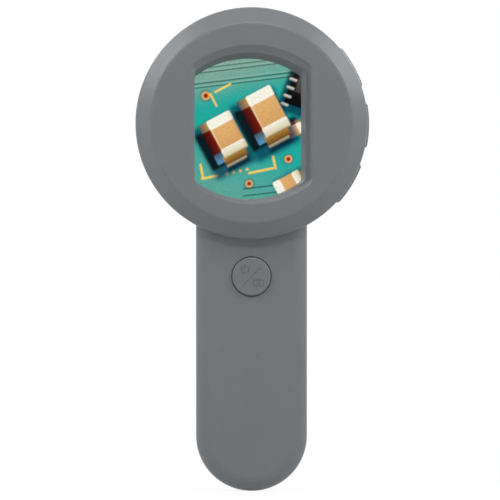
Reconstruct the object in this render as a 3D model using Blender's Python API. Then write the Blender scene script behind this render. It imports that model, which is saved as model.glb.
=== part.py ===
# Handheld digital microscope: a round head with a display, a straight grip, and a focusing lens at the back.
# Metres, +Z up. The display faces -Y, the lens looks along +Y, and the grip's end is at Z = 0.
# A depth is measured from the flat ring round the display, towards +Y.

import math

import bmesh
import bpy
from mathutils import Vector

mm = 0.001

# Clearances
touch_gap = 0.3 * mm          # between two pieces that touch
slide_gap = 0.3 * mm          # round a piece that moves
cut_overrun = 1.5 * mm        # how far a cutter passes the face that it opens
root_depth = 1.0 * mm         # how far a post is rooted in its wall

# Head
head_height = 125.7 * mm      # lens axis above the grip's end
head_margin = 1.87 * mm       # from the display's furthest corner to the head's inner wall
chip_clearance = 1.6 * mm     # between the main board's chips and the sensor's board
bevel_width = 5.4 * mm
bevel_depth = 4.2 * mm
crease_round = 2.0 * mm
rim_round = 1.4 * mm
back_round = 3.0 * mm
shell_wall = 2.0 * mm
seam_depth = 12.5 * mm        # where the two shells meet

# Grip
grip_width = 38.0 * mm
grip_front = 6.8 * mm         # depth of its front, so the head stands proud of it
grip_step = 0.4 * mm          # how far its back lies in front of the collar's
grip_front_round = 5.5 * mm   # width of the rounded edge, seen from the front
grip_front_drop = 3.6 * mm    # depth of the same edge
grip_back_round = 7.5 * mm
grip_back_drop = 6.0 * mm
neck_fillet = 1.0 * mm        # where the grip's side meets the head
neck_bite = 0.3 * mm          # how far the fillet runs into the head

# Collar round the lens
collar_margin = 2.5 * mm      # past the lens tube's flange
collar_height = 2.9 * mm
collar_round = 1.0 * mm

# Display recess and window
recess_above = 4.7 * mm       # from what shows of the display up to the opening's edge
recess_below = 1.9 * mm
opening_arch = 33.6 * mm
opening_corner = 3.6 * mm
lip_width = 1.7 * mm
lip_drop = 1.6 * mm
recess_depth = 4.5 * mm
window_width = 36.3 * mm      # what shows of the display
window_height = 47.9 * mm
window_arch = 29.6 * mm
window_corner = 1.4 * mm
window_side = 1.25 * mm       # how far the display lies to the left of the lens axis
window_drop = 1.95 * mm       # and below it
window_margin = 1.0 * mm
window_thickness = 0.8 * mm
skirt_wall = 1.4 * mm

# Display
display_side_border = 2.35 * mm
display_top_border = 5.55 * mm   # where the ribbon leaves
display_bottom_border = 2.45 * mm
display_thickness = 2.4 * mm
display_rim = 0.8 * mm
display_pocket = 1.4 * mm
panel_thickness = 1.0 * mm
ribbon_width = 16.0 * mm
ribbon_thickness = 0.3 * mm
ribbon_tail = 6.0 * mm

# Circuit boards and what is on them
board_thickness = 1.2 * mm
board_edge_gap = 1.2 * mm     # from a side key pushed home to the main board
board_stack = 1.0 * mm        # room for the ribbon between display and main board
processor_size = 12.0 * mm
processor_up = 4.0 * mm
memory_width = 9.0 * mm
memory_height = 7.0 * mm
memory_up = -9.0 * mm
chip_thickness = 1.2 * mm
switch_length = 3.4 * mm
switch_width = 4.6 * mm
switch_height = 3.0 * mm
plunger_radius = 0.9 * mm
plunger_length = 0.5 * mm

# Side keys
key_angles = [math.radians(29.7), math.radians(-0.9), math.radians(-31.6)]
key_length = 15.2 * mm
key_height = 5.0 * mm
key_proud = 0.8 * mm
key_edge = 0.5 * mm
key_flange = 1.0 * mm         # how far the flange reaches past the cap
key_flange_thickness = 0.9 * mm
key_nub = 1.2 * mm
key_nub_radius = 1.3 * mm
key_travel = 0.6 * mm

# Power and capture button
button_drop = 12.7 * mm       # from the head's lowest point to its axis
button_radius = 6.6 * mm
button_proud = 0.9 * mm
button_edge = 0.6 * mm
button_flange = 1.0 * mm
button_flange_thickness = 0.8 * mm
button_stem = 0.5 * mm
button_stem_radius = 1.6 * mm
button_travel = 0.6 * mm
button_board_width = 15.0 * mm
button_board_thickness = 1.0 * mm
power_switch_size = 6.0 * mm
power_switch_height = 1.2 * mm
power_plunger = 0.4 * mm
stake_clearance = 0.9 * mm    # between the button's flange and each heat stake
stake_margin = 1.8 * mm       # from a stake's axis to the end of the button's board
stake_radius = 0.9 * mm
stake_shoulder = 1.7 * mm
stake_tip = 0.2 * mm

# Grip board, sockets and battery
board_post_margin = 4.5 * mm  # from its posts to its top edge
grip_board_front = 15.5 * mm
grip_board_gap = 0.6 * mm     # from its edge to the wall
usb_width = 9.0 * mm
usb_height = 3.2 * mm
usb_length = 7.3 * mm
usb_inset = 0.9 * mm
usb_wall = 0.35 * mm
usb_tongue = 0.7 * mm
usb_tongue_width = 6.6 * mm
usb_corner = 1.2 * mm
card_width = 13.6 * mm
card_height = 1.9 * mm
card_length = 14.0 * mm
card_slot_width = 11.4 * mm
card_slot_height = 1.2 * mm
card_slot_depth = 10.0 * mm
board_post_side = 9.5 * mm
board_post_up = 22.5 * mm
board_post_radius = 1.8 * mm
battery_side_gap = 3.0 * mm
battery_bottom_gap = 2.3 * mm
battery_top_gap = 0.6 * mm
battery_front_gap = 0.25 * mm
battery_edge = 1.6 * mm
cable_width = 3.2 * mm
cable_thickness = 0.3 * mm
cable_depth = 13.6 * mm
cable_bend = 6.0 * mm
cable_tail = 5.0 * mm

# Housing screws
screw_radius = 0.9 * mm
screw_head_radius = 2.0 * mm
screw_head_height = 1.4 * mm
screw_sink = 1.7 * mm         # from the back face to the top of its head
screw_bite = 4.5 * mm         # how far it goes into the front post
screw_tip = 0.6 * mm
post_radius = 2.2 * mm
post_head_radius = 3.2 * mm
head_screw_angle = math.radians(41)   # clear of the key switches
head_screw_inset = 5.0 * mm   # from the head's inner wall
head_screw_gap = 0.65 * mm    # between a post and the display
grip_screw_side = 9.8 * mm
grip_screw_gap = 1.8 * mm     # between a post and the grip's board
grip_post_floor = 0.7 * mm    # under the end of a grip screw

# Lens tube
tube_radius = 17.0 * mm
tube_wall = 2.4 * mm
tube_flange = 1.6 * mm
tube_flange_margin = 1.0 * mm    # outside the screws' heads
chamber_radius = 12.3 * mm
chamber_wall = 1.8 * mm
chamber_length = 3.7 * mm
tube_socket = 1.2 * mm        # length of the tube's end inside the hood
tube_ledge = 1.2 * mm         # width of the step that carries the LED board
tube_screw_gap = 1.8 * mm     # between the tube and a screw's head
tube_screw_angles = [math.radians(30), math.radians(150), math.radians(270)]
tube_screw_radius = 0.8 * mm
tube_screw_head_radius = 1.6 * mm
tube_screw_head_height = 1.1 * mm
tube_screw_length = 5.0 * mm

# Sensor
sensor_board_margin = 0.2 * mm   # past the chamber
sensor_board_thickness = 1.0 * mm
sensor_board_corner = 4.0 * mm
sensor_size = 8.5 * mm
sensor_height = 1.1 * mm

# Lens carrier, lenses and pins
carrier_gap = 0.3 * mm
carrier_flange = 4.0 * mm
cell_radius = 7.5 * mm
cell_wall = 1.5 * mm
stop_width = 1.2 * mm         # the shoulder between the two lenses
cell_reach = 8.8 * mm         # how far the cell goes in front of the carrier's flange
stop_front = 3.2 * mm         # from the cell's front end to the stop
stop_length = 5.4 * mm
lens_edge = 0.9 * mm
lens_bulge = 0.6 * mm
retainer_length = 1.1 * mm
retainer_wall = 1.2 * mm
pin_radius = 1.0 * mm
pin_root = 3.0 * mm           # how far each pin goes into the carrier
pin_reach = 2.0 * mm          # how far it stands out of the tube
pin_angles = [math.radians(90), math.radians(270)]

# Focus ring
ring_wall = 3.2 * mm          # outside the spiral grooves
ring_height = 6.2 * mm
ring_chamfer = 0.7 * mm
rib_depth = 0.6 * mm
rib_count = 26
focus_turn = math.radians(45)
focus_travel = 1.0 * mm       # the carrier's travel each way

# Lamp ring and hood
led_board_thickness = 0.8 * mm
led_board_bore = 8.6 * mm
led_count = 8
led_size = 3.0 * mm
led_height = 0.8 * mm
led_dome = 1.1 * mm
diffuser_thickness = 0.8 * mm
hood_height = 7.8 * mm
hood_base_wall = 4.1 * mm
hood_base_height = 1.4 * mm
hood_flare = 0.6 * mm         # how much its bore widens towards the rim
hood_rim_wall = 1.5 * mm
hood_ledge = 1.0 * mm

# Facets
head_steps = 60
ring_steps = 32
small_steps = 12
screw_steps = 8
corner_steps = 2
round_rows = 3
end_steps = 16
arch_steps = 11
weld_distance = 0.001 * mm
crease_angle = math.radians(35)

# Depths that follow, through the head from the display to the hood
window_front = recess_depth + touch_gap
window_back = window_front + window_thickness
display_front = window_back + touch_gap
display_back = display_front + display_thickness
board_front = display_back + board_stack
board_back = board_front + board_thickness
sensor_board_front = board_back + touch_gap + chip_thickness + chip_clearance
sensor_board_back = sensor_board_front + sensor_board_thickness
tube_front = sensor_board_back + touch_gap
tube_flange_front = tube_front + chamber_length
tube_flange_back = tube_flange_front + tube_flange
head_floor = tube_flange_back + touch_gap
head_depth = head_floor + shell_wall
collar_back = head_depth + collar_height
ring_front = collar_back + touch_gap
ring_back = ring_front + ring_height
ring_middle = ring_front + ring_height / 2
hood_base = ring_back + touch_gap
hood_rim = hood_base + hood_height
total_depth = hood_rim
tube_end = hood_base + tube_socket
carrier_front = ring_middle - carrier_flange / 2
carrier_back = ring_middle + carrier_flange / 2
cell_front = carrier_front - cell_reach
led_board_front = hood_base + touch_gap
led_board_back = led_board_front + led_board_thickness
led_front = led_board_back + touch_gap
led_back = led_front + led_height
diffuser_front = led_back + touch_gap

# Depths that follow, through the grip
grip_back = collar_back - grip_step
inner_front = grip_front + shell_wall
inner_back = grip_back - shell_wall
grip_board_back = grip_board_front + board_thickness
grip_post_end = inner_front + grip_post_floor + screw_bite
button_flange_front = inner_front + touch_gap
button_flange_back = button_flange_front + button_flange_thickness
button_stem_end = button_flange_back + button_stem
power_plunger_front = button_stem_end + button_travel + slide_gap / 2
button_board_front = power_plunger_front + power_plunger + power_switch_height + touch_gap
button_board_back = button_board_front + button_board_thickness
battery_front = button_board_back + stake_tip + battery_front_gap

# Widths and heights that follow in the head
display_width = window_width + 2 * display_side_border
display_top = window_height / 2 + display_top_border - window_drop
display_bottom = -window_height / 2 - display_bottom_border - window_drop
display_side = display_width / 2 + window_side
opening_width = window_width + 2 * (window_side + lip_width)
opening_top = window_height / 2 - window_drop + recess_above
opening_bottom = window_height / 2 + window_drop + recess_below
display_corner = math.hypot(display_side, max(display_top, -display_bottom))
least_screw_reach = (display_side + head_screw_gap + post_radius) / math.cos(head_screw_angle)
head_bore = max(display_corner + head_margin, least_screw_reach + head_screw_inset)
head_radius = head_bore + shell_wall
head_screw_reach = head_bore - head_screw_inset
key_flange_outer = head_bore - touch_gap
key_flange_inner = key_flange_outer - key_flange_thickness
key_nub_end = key_flange_inner - key_nub
switch_reach = key_nub_end - key_travel - slide_gap / 2
board_radius = key_flange_inner - key_travel - board_edge_gap

# Widths and heights that follow in the grip
grip_half = grip_width / 2
button_height = head_height - head_radius - button_drop
stake_reach = button_radius + button_flange + stake_clearance + stake_shoulder
button_board_height = 2 * (stake_reach + stake_margin)
grip_board_top = board_post_up + board_post_margin
grip_screw_up = grip_board_top + grip_screw_gap + post_head_radius
battery_width = grip_width - 2 * (shell_wall + battery_side_gap)
battery_bottom = grip_screw_up + post_head_radius + battery_bottom_gap
battery_top = head_height - head_radius - battery_top_gap

# Radii that follow round the lens axis
tube_bore = tube_radius - tube_wall
ledge_radius = tube_bore + tube_ledge
chamber_bore = chamber_radius - chamber_wall
sensor_board_size = 2 * (chamber_radius + sensor_board_margin)
tube_screw_reach = tube_radius + tube_screw_gap + tube_screw_head_radius
tube_flange_radius = tube_screw_reach + tube_screw_head_radius + tube_flange_margin
collar_radius = tube_flange_radius + collar_margin
carrier_radius = tube_bore - carrier_gap
cell_bore = cell_radius - cell_wall
slot_width = 2 * (pin_radius + slide_gap)
ring_bore = tube_radius + slide_gap
groove_radius = tube_radius + pin_reach + slide_gap
ring_radius = groove_radius + ring_wall
led_circle = (led_board_bore + ledge_radius - touch_gap) / 2
hood_bore = tube_radius + touch_gap
hood_rim_bore = hood_bore + hood_flare


def clear_objects():
    for item in list(bpy.data.objects):
        bpy.data.objects.remove(item, do_unlink=True)


def datum(name, place, turn=0.0, parent=None):
    # An empty that pieces are parented to, turned about the depth axis
    empty = bpy.data.objects.new(name, None)
    empty.location = place
    empty.rotation_euler = (0, turn, 0)
    empty.parent = parent
    bpy.context.collection.objects.link(empty)
    return empty


def finish(name, colour, roughness, metallic=0.0, alpha=1.0):
    material = bpy.data.materials.new(name)
    material.use_nodes = True
    shader = material.node_tree.nodes["Principled BSDF"]
    shader.inputs["Base Color"].default_value = (*colour, 1.0)
    shader.inputs["Roughness"].default_value = roughness
    shader.inputs["Metallic"].default_value = metallic
    shader.inputs["Alpha"].default_value = alpha
    return material


def grey_plastic(name):
    return finish(name, (0.172, 0.187, 0.198), 0.55)


def black_plastic(name):
    return finish(name, (0.03, 0.03, 0.033), 0.5)


def steel(name):
    return finish(name, (0.62, 0.62, 0.64), 0.35, 1.0)


def clear_plastic(name):
    return finish(name, (0.86, 0.9, 0.92), 0.08, 0.0, 0.35)


def green_board(name):
    return finish(name, (0.02, 0.16, 0.09), 0.45)


def spread(start, end, steps):
    return [start + (end - start) * step / steps for step in range(steps + 1)]


def arc(centre, radius, start, end, steps):
    return [
        (centre[0] + radius * math.cos(angle), centre[1] + radius * math.sin(angle))
        for angle in spread(start, end, steps)
    ]


def soften(corners, steps=corner_steps):
    # Turns corners (x, y, radius) into points, with an arc at each corner that has a radius
    points = []
    for index, (x, y, radius) in enumerate(corners):
        if radius <= 0:
            points.append((x, y))
            continue
        corner = Vector((x, y))
        before = (Vector(corners[index - 1][:2]) - corner).normalized()
        after = (Vector(corners[(index + 1) % len(corners)][:2]) - corner).normalized()
        half = before.angle(after) / 2
        centre = corner + (before + after).normalized() * (radius / math.sin(half))
        first = corner + before * (radius / math.tan(half)) - centre
        last = corner + after * (radius / math.tan(half)) - centre
        start = math.atan2(first.y, first.x)
        sweep = math.atan2(first.x * last.y - first.y * last.x, first.dot(last))
        points += arc(centre, radius, start, start + sweep, steps)
    return points


def on_head(reach, angle):
    return (reach * math.cos(angle), reach * math.sin(angle))


def keep(name, mesh_data, parent, material):
    # Stores a bmesh as an object; one without a material is a cutter or a guide
    bmesh.ops.remove_doubles(mesh_data, verts=mesh_data.verts, dist=weld_distance)
    bmesh.ops.recalc_face_normals(mesh_data, faces=mesh_data.faces)
    mesh = bpy.data.meshes.new(name)
    mesh_data.to_mesh(mesh)
    mesh_data.free()
    mesh.shade_smooth()
    mesh.set_sharp_from_angle(angle=crease_angle)
    piece = bpy.data.objects.new(name, mesh)
    piece.parent = parent
    bpy.context.collection.objects.link(piece)
    if material:
        mesh.materials.append(material)
    else:
        piece.hide_render = True
        piece.display_type = "WIRE"
    return piece


def lathe(name, corners, parent, material=None, steps=ring_steps, place=(0, 0)):
    # Turns a profile of (radius, depth, corner radius) about the depth axis through a place (x, z)
    profile = soften(corners)
    ring_like = profile[0][0] > 0
    if not ring_like and abs(profile[0][1] - profile[1][1]) < weld_distance:
        profile = profile[1:]
    if not ring_like and abs(profile[-1][1] - profile[-2][1]) < weld_distance:
        profile = profile[:-1]
    shape = bmesh.new()
    points = [shape.verts.new((radius, depth, 0)) for radius, depth in profile]
    edges = [shape.edges.new(pair) for pair in zip(points, points[1:])]
    if ring_like:
        edges.append(shape.edges.new((points[-1], points[0])))
    bmesh.ops.spin(shape, geom=points + edges, cent=(0, 0, 0), axis=(0, 1, 0),
                   angle=2 * math.pi, steps=steps, use_merge=True)
    bmesh.ops.remove_doubles(shape, verts=shape.verts, dist=weld_distance)
    ends = [edge for edge in shape.edges if edge.is_boundary]
    bmesh.ops.holes_fill(shape, edges=ends, sides=0)
    piece = keep(name, shape, parent, material)
    piece.location = (place[0], 0, place[1])
    return piece


def loft(name, rings, parent, material=None):
    # Joins rings of points, all with the same count, and closes both ends
    shape = bmesh.new()
    loops = [[shape.verts.new(point) for point in ring] for ring in rings]
    count = len(rings[0])
    for near, far in zip(loops, loops[1:]):
        for index in range(count):
            after = (index + 1) % count
            shape.faces.new((near[index], near[after], far[after], far[index]))
    shape.faces.new(loops[0])
    shape.faces.new(loops[-1])
    return keep(name, shape, parent, material)


def at_depth(outline, depth):
    return [(x, depth, z) for x, z in outline]


def prism(name, outline, front, back, parent, material=None):
    return loft(name, [at_depth(outline, front), at_depth(outline, back)], parent, material)


def block(name, centre, width, height, front, back, parent, material=None, corner=0.0):
    x, z = centre
    corners = [
        (x - width / 2, z - height / 2, corner),
        (x + width / 2, z - height / 2, corner),
        (x + width / 2, z + height / 2, corner),
        (x - width / 2, z + height / 2, corner),
    ]
    return prism(name, soften(corners), front, back, parent, material)


def combine(target, operand, operation):
    step = target.modifiers.new(operand.name, "BOOLEAN")
    step.operation = operation
    step.solver = "EXACT"
    step.object = operand
    return target


def join(target, operand):
    return combine(target, operand, "UNION")


def cut(target, operand):
    return combine(target, operand, "DIFFERENCE")


def round_edges(piece, width, segments=2):
    step = piece.modifiers.new("edges", "BEVEL")
    step.width = width
    step.segments = segments
    step.limit_method = "ANGLE"
    step.angle_limit = crease_angle
    return piece


def pillar(name, place, radius, front, back, parent, material=None, steps=small_steps):
    corners = [(0, front, 0), (radius, front, 0), (radius, back, 0), (0, back, 0)]
    return lathe(name, corners, parent, material, steps, place)


def opening_shape():
    return {
        "middle": 0.0,
        "half_width": opening_width / 2,
        "top": opening_top,
        "bottom": -opening_bottom,
        "arch": opening_arch,
        "corner": opening_corner,
    }


def window_shape():
    return {
        "middle": -window_side,
        "half_width": window_width / 2,
        "top": window_height / 2 - window_drop,
        "bottom": -window_height / 2 - window_drop,
        "arch": window_arch,
        "corner": window_corner,
    }


def arched_outline(shape, inset=0.0):
    # Straight sides, arched ends and small corner arcs, counter-clockwise from the right side
    half = shape["half_width"] - inset
    arch = shape["arch"] - inset
    corner = shape["corner"] - inset
    rise = math.sqrt((arch - corner) ** 2 - (half - corner) ** 2)
    turn = math.atan2(rise, half - corner)
    top = shape["top"] - inset - arch
    bottom = shape["bottom"] + inset + arch
    left = shape["middle"] - half + corner
    right = shape["middle"] + half - corner
    full = 2 * math.pi
    points = arc((right, top + rise), corner, 0, turn, corner_steps)
    points += arc((shape["middle"], top), arch, turn, math.pi - turn, arch_steps)[1:-1]
    points += arc((left, top + rise), corner, math.pi - turn, math.pi, corner_steps)
    points += arc((left, bottom - rise), corner, math.pi, math.pi + turn, corner_steps)
    points += arc((shape["middle"], bottom), arch, math.pi + turn, full - turn, arch_steps)[1:-1]
    points += arc((right, bottom - rise), corner, full - turn, full, corner_steps)
    return points


def grip_outline(inset, top):
    # Round end, straight sides and a small fillet at the neck, then up inside the head
    end = arc((0, grip_half), grip_half - inset, math.pi, 2 * math.pi, end_steps)
    side = grip_half + neck_fillet
    reach = head_radius - neck_bite + neck_fillet
    rise = math.sqrt(reach ** 2 - side ** 2)
    turn = math.atan2(rise, side)
    centre = (side, head_height - rise)
    fillet = arc(centre, neck_fillet + inset, math.pi, math.pi - turn, corner_steps)
    right = fillet + [(grip_half - inset, top)]
    left = [(-x, z) for x, z in reversed(right)]
    return end + right + left


def grip_slab(name, inset, front, back, top, parent):
    # The grip as a slab with elliptical edges, or its hollow when inset by the wall
    front_round = grip_front_round - inset
    front_drop = grip_front_drop - inset / 2
    back_round = grip_back_round - inset
    back_drop = grip_back_drop - inset
    rings = []
    for turn in spread(0, math.pi / 2, round_rows):
        width = inset + front_round * (1 - math.sin(turn))
        rings.append(at_depth(grip_outline(width, top), front + front_drop * (1 - math.cos(turn))))
    for turn in spread(0, math.pi / 2, round_rows):
        width = inset + back_round * (1 - math.cos(turn))
        rings.append(at_depth(grip_outline(width, top), back - back_drop * (1 - math.sin(turn))))
    return loft(name, rings, parent)


def head_body(name, material):
    crease = head_radius - bevel_width
    corners = [
        (0, 0, 0),
        (crease, 0, crease_round),
        (head_radius, bevel_depth, rim_round),
        (head_radius, head_depth, back_round),
        (collar_radius, head_depth, 0),
        (collar_radius, collar_back, collar_round),
        (0, collar_back, 0),
    ]
    return lathe(name, corners, head_axis, material, head_steps)


def head_hollow():
    # Runs at the wall's thickness inside the bevel, the side and the back
    slope = bevel_depth / bevel_width
    slant = shell_wall * math.hypot(1, slope)
    crease = head_radius - bevel_width
    corners = [
        (0, shell_wall, 0),
        (crease + (shell_wall - slant) / slope, shell_wall, 0),
        (head_bore, slope * (head_bore - crease) + slant, 0),
        (head_bore, head_floor, back_round - shell_wall),
        (0, head_floor, 0),
    ]
    return lathe("head_hollow", corners, head_axis, None, head_steps)


def head_places():
    half_turn = math.pi
    angles = [head_screw_angle, half_turn - head_screw_angle, half_turn + head_screw_angle, -head_screw_angle]
    return [on_head(head_screw_reach, angle) for angle in angles]


def grip_places():
    return [(side * grip_screw_side, grip_screw_up) for side in (-1, 1)]


def board_places():
    return [(side * board_post_side, board_post_up) for side in (-1, 1)]


def key_cutters():
    cutters = []
    for number, key_datum in enumerate(key_datums, 1):
        half = key_length / 2 + slide_gap
        low = head_bore - cut_overrun
        high = head_radius + cut_overrun
        outline = [(low, -half), (high, -half), (high, half), (low, half)]
        depth = key_height / 2 + slide_gap
        name = f"key_slot_{number}"
        cutters.append(prism(name, outline, seam_depth - depth, seam_depth + depth, key_datum))
    return cutters


def usb_cutter():
    middle = grip_board_front - touch_gap - usb_height / 2
    return end_slot("usb_hole", usb_width + 2 * touch_gap, middle, usb_height + 2 * touch_gap, usb_corner)


def card_cutter():
    middle = grip_board_back + touch_gap + card_height / 2
    return end_slot("card_hole", card_slot_width, middle, card_slot_height, 0.0)


def end_slot(name, width, middle, height, corner):
    # A slot through the end wall of the grip, from below
    corners = [
        (-width / 2, middle - height / 2, corner),
        (width / 2, middle - height / 2, corner),
        (width / 2, middle + height / 2, corner),
        (-width / 2, middle + height / 2, corner),
    ]
    outline = soften(corners)
    top = grip_half - math.sqrt((grip_half - shell_wall) ** 2 - (width / 2) ** 2) + cut_overrun
    rings = [[(x, y, z) for x, y in outline] for z in (-cut_overrun, top)]
    return loft(name, rings, grip_datum)


def half_space(name, front, back):
    margin = head_radius + cut_overrun
    corners = [(-margin, -cut_overrun), (margin, -cut_overrun)]
    corners += [(margin, head_height + margin), (-margin, head_height + margin)]
    return prism(name, corners, front, back, grip_datum)


def front_housing():
    shell = head_body("front_housing", grey_plastic("front_housing"))
    join(shell, grip_solid)
    cut(shell, half_space("behind_seam", seam_depth - touch_gap / 2, total_depth))
    cut(shell, head_space)
    cut(shell, grip_space)
    skirt = arched_outline(opening_shape(), -skirt_wall)
    join(shell, prism("recess_skirt", skirt, shell_wall - root_depth, window_back, head_axis))
    for number, place in enumerate(head_places(), 1):
        name = f"front_head_post_{number}"
        back = board_front - touch_gap
        join(shell, pillar(name, place, post_radius, shell_wall - root_depth, back, head_axis))
        cut(shell, pillar(f"{name}_hole", place, screw_radius + touch_gap, back - screw_bite - touch_gap,
                          back + cut_overrun, head_axis, None, screw_steps))
    for number, place in enumerate(grip_places(), 1):
        name = f"front_grip_post_{number}"
        back = grip_post_end
        join(shell, pillar(name, place, post_radius, inner_front - root_depth, back, grip_datum))
        cut(shell, pillar(f"{name}_hole", place, screw_radius + touch_gap, back - screw_bite - touch_gap,
                          back + cut_overrun, grip_datum, None, screw_steps))
    for number, place in enumerate(board_places(), 1):
        name = f"front_board_post_{number}"
        back = grip_board_front - touch_gap
        join(shell, pillar(name, place, board_post_radius, inner_front - root_depth, back, grip_datum))
    for number, side in enumerate((-1, 1), 1):
        corners = [
            (0, inner_front - root_depth, 0),
            (stake_shoulder, inner_front - root_depth, 0),
            (stake_shoulder, button_board_front - touch_gap, 0),
            (stake_radius, button_board_front - touch_gap, 0),
            (stake_radius, button_board_back + stake_tip, 0),
            (0, button_board_back + stake_tip, 0),
        ]
        place = (0, button_height + side * stake_reach)
        join(shell, lathe(f"button_stake_{number}", corners, grip_datum, None, screw_steps, place))
    cut(shell, recess())
    pocket = arched_outline(window_shape(), -window_margin - touch_gap)
    cut(shell, prism("window_pocket", pocket, recess_depth, window_back + cut_overrun, head_axis))
    cut(shell, pillar("button_hole", (0, button_height), button_radius + slide_gap, grip_front - cut_overrun,
                      inner_front + cut_overrun, grip_datum, None, ring_steps))
    for cutter in key_slots + [usb_hole]:
        cut(shell, cutter)
    return shell


def recess():
    # A soft lip, then a wall that runs to the window, which lies a little left and low
    opening = opening_shape()
    rings = [at_depth(arched_outline(opening), -cut_overrun)]
    for turn in spread(0, math.pi / 2, round_rows):
        outline = arched_outline(opening, lip_width * math.sin(turn))
        rings.append(at_depth(outline, lip_drop * (1 - math.cos(turn))))
    window = arched_outline(window_shape())
    rings.append(at_depth(window, recess_depth))
    rings.append(at_depth(window, window_front))
    return loft("recess", rings, head_axis)


def rear_housing():
    shell = head_body("rear_housing", grey_plastic("rear_housing"))
    join(shell, grip_solid)
    cut(shell, half_space("before_seam", -cut_overrun, seam_depth + touch_gap / 2))
    cut(shell, head_space)
    cut(shell, grip_space)
    cut(shell, pillar("tube_hole", (0, 0), tube_radius + touch_gap, head_floor - cut_overrun,
                      collar_back + cut_overrun, head_axis, None, ring_steps))
    for number, place in enumerate(head_places(), 1):
        name = f"rear_head_post_{number}"
        rear_post(shell, name, place, board_back + touch_gap, head_floor, head_depth, head_axis)
    for number, place in enumerate(grip_places(), 1):
        name = f"rear_grip_post_{number}"
        rear_post(shell, name, place, grip_post_end + touch_gap, inner_back, grip_back, grip_datum)
    for number, place in enumerate(board_places(), 1):
        name = f"rear_board_post_{number}"
        front = grip_board_back + touch_gap
        join(shell, pillar(name, place, board_post_radius, front, inner_back + root_depth, grip_datum))
    for number, angle in enumerate(tube_screw_angles, 1):
        place = on_head(tube_screw_reach, angle)
        back = tube_flange_front + tube_screw_length
        cut(shell, pillar(f"tube_screw_hole_{number}", place, tube_screw_radius + touch_gap,
                          head_floor - cut_overrun, back, head_axis, None, screw_steps))
    for cutter in key_slots + [usb_hole, card_cutter()]:
        cut(shell, cutter)
    return shell


def rear_post(shell, name, place, front, floor, back, parent):
    # A post that widens round the screw's head, bored right through
    head_seat = back - screw_sink - screw_head_height - touch_gap
    wide_front = head_seat - shell_wall
    corners = [
        (0, front, 0),
        (post_radius, front, 0),
        (post_radius, wide_front, 0),
        (post_head_radius, wide_front + post_head_radius - post_radius, 0),
        (post_head_radius, floor + root_depth, 0),
        (0, floor + root_depth, 0),
    ]
    join(shell, lathe(name, corners, parent, None, small_steps, place))
    corners = [
        (0, front - cut_overrun, 0),
        (screw_radius + touch_gap, front - cut_overrun, 0),
        (screw_radius + touch_gap, head_seat, 0),
        (screw_head_radius + touch_gap, head_seat, 0),
        (screw_head_radius + touch_gap, back + cut_overrun, 0),
        (0, back + cut_overrun, 0),
    ]
    cut(shell, lathe(f"{name}_bore", corners, parent, None, small_steps, place))


def housing_screws():
    ends = []
    for place in head_places():
        ends.append((place, board_front - touch_gap - screw_bite, head_depth, head_axis))
    for place in grip_places():
        ends.append((place, grip_post_end - screw_bite, grip_back, grip_datum))
    for number, (place, front, back, parent) in enumerate(ends, 1):
        top = back - screw_sink
        under = top - screw_head_height
        corners = [
            (0, front, 0),
            (screw_radius - screw_tip / 2, front, 0),
            (screw_radius, front + screw_tip, 0),
            (screw_radius, under, 0),
            (screw_head_radius, under, 0),
            (screw_head_radius, top, 0),
            (0, top, 0),
        ]
        name = f"housing_screw_{number}"
        lathe(name, corners, parent, steel(name), screw_steps, place)


def display_window():
    outline = arched_outline(window_shape(), -window_margin)
    prism("display_window", outline, window_front, window_back, head_axis, clear_plastic("display_window"))


def display():
    height = display_top - display_bottom
    centre = (-window_side, (display_top + display_bottom) / 2)
    frame = block("display_frame", centre, display_width, height, display_front, display_back, head_axis,
                  steel("display_frame"))
    inner_width = display_width - 2 * display_rim
    inner_height = height - 2 * display_rim
    pocket = display_front + display_pocket
    cut(frame, block("display_pocket", centre, inner_width, inner_height, display_front - cut_overrun, pocket,
                     head_axis))
    back = pocket - touch_gap
    block("display_panel", centre, inner_width - 2 * touch_gap, inner_height - 2 * touch_gap,
          back - panel_thickness, back, head_axis, finish("display_panel", (0.05, 0.35, 0.33), 0.25))
    display_ribbon()


def display_ribbon():
    # From the panel's top edge round the frame to the front of the main board
    low = display_front + ribbon_thickness
    high = display_back + touch_gap + ribbon_thickness / 2
    bend = (high - low) / 2
    centre = (low + bend, display_top + touch_gap + ribbon_thickness)
    line = [(centre[0] + bend * math.cos(angle), centre[1] + bend * math.sin(angle))
            for angle in spread(math.pi, 0, 2 * round_rows)]
    line.append((high, display_top - ribbon_tail))
    strip("display_ribbon", line, -window_side, ribbon_width, ribbon_thickness, head_axis,
          finish("display_ribbon", (0.55, 0.27, 0.05), 0.4))


def strip(name, line, middle, width, thickness, parent, material):
    # A flat strip of even thickness along a line of (depth, height) points
    rings = []
    for index, point in enumerate(line):
        before = Vector(line[max(index - 1, 0)])
        after = Vector(line[min(index + 1, len(line) - 1)])
        along = (after - before).normalized()
        across = Vector((-along.y, along.x)) * (thickness / 2)
        inner = Vector(point) - across
        outer = Vector(point) + across
        low = middle - width / 2
        high = middle + width / 2
        rings.append([(low, *inner), (high, *inner), (high, *outer), (low, *outer)])
    return loft(name, rings, parent, material)


def main_board():
    board = pillar("main_board", (0, 0), board_radius, board_front, board_back, head_axis,
                   green_board("main_board"), ring_steps)
    for number, place in enumerate(head_places(), 1):
        cut(board, pillar(f"board_hole_{number}", place, screw_radius + touch_gap, board_front - cut_overrun,
                          board_back + cut_overrun, head_axis, None, screw_steps))
    front = board_back + touch_gap
    block("processor_chip", (0, processor_up), processor_size, processor_size, front, front + chip_thickness,
          head_axis, black_plastic("processor_chip"))
    block("memory_chip", (0, memory_up), memory_width, memory_height, front, front + chip_thickness, head_axis,
          black_plastic("memory_chip"))


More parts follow.
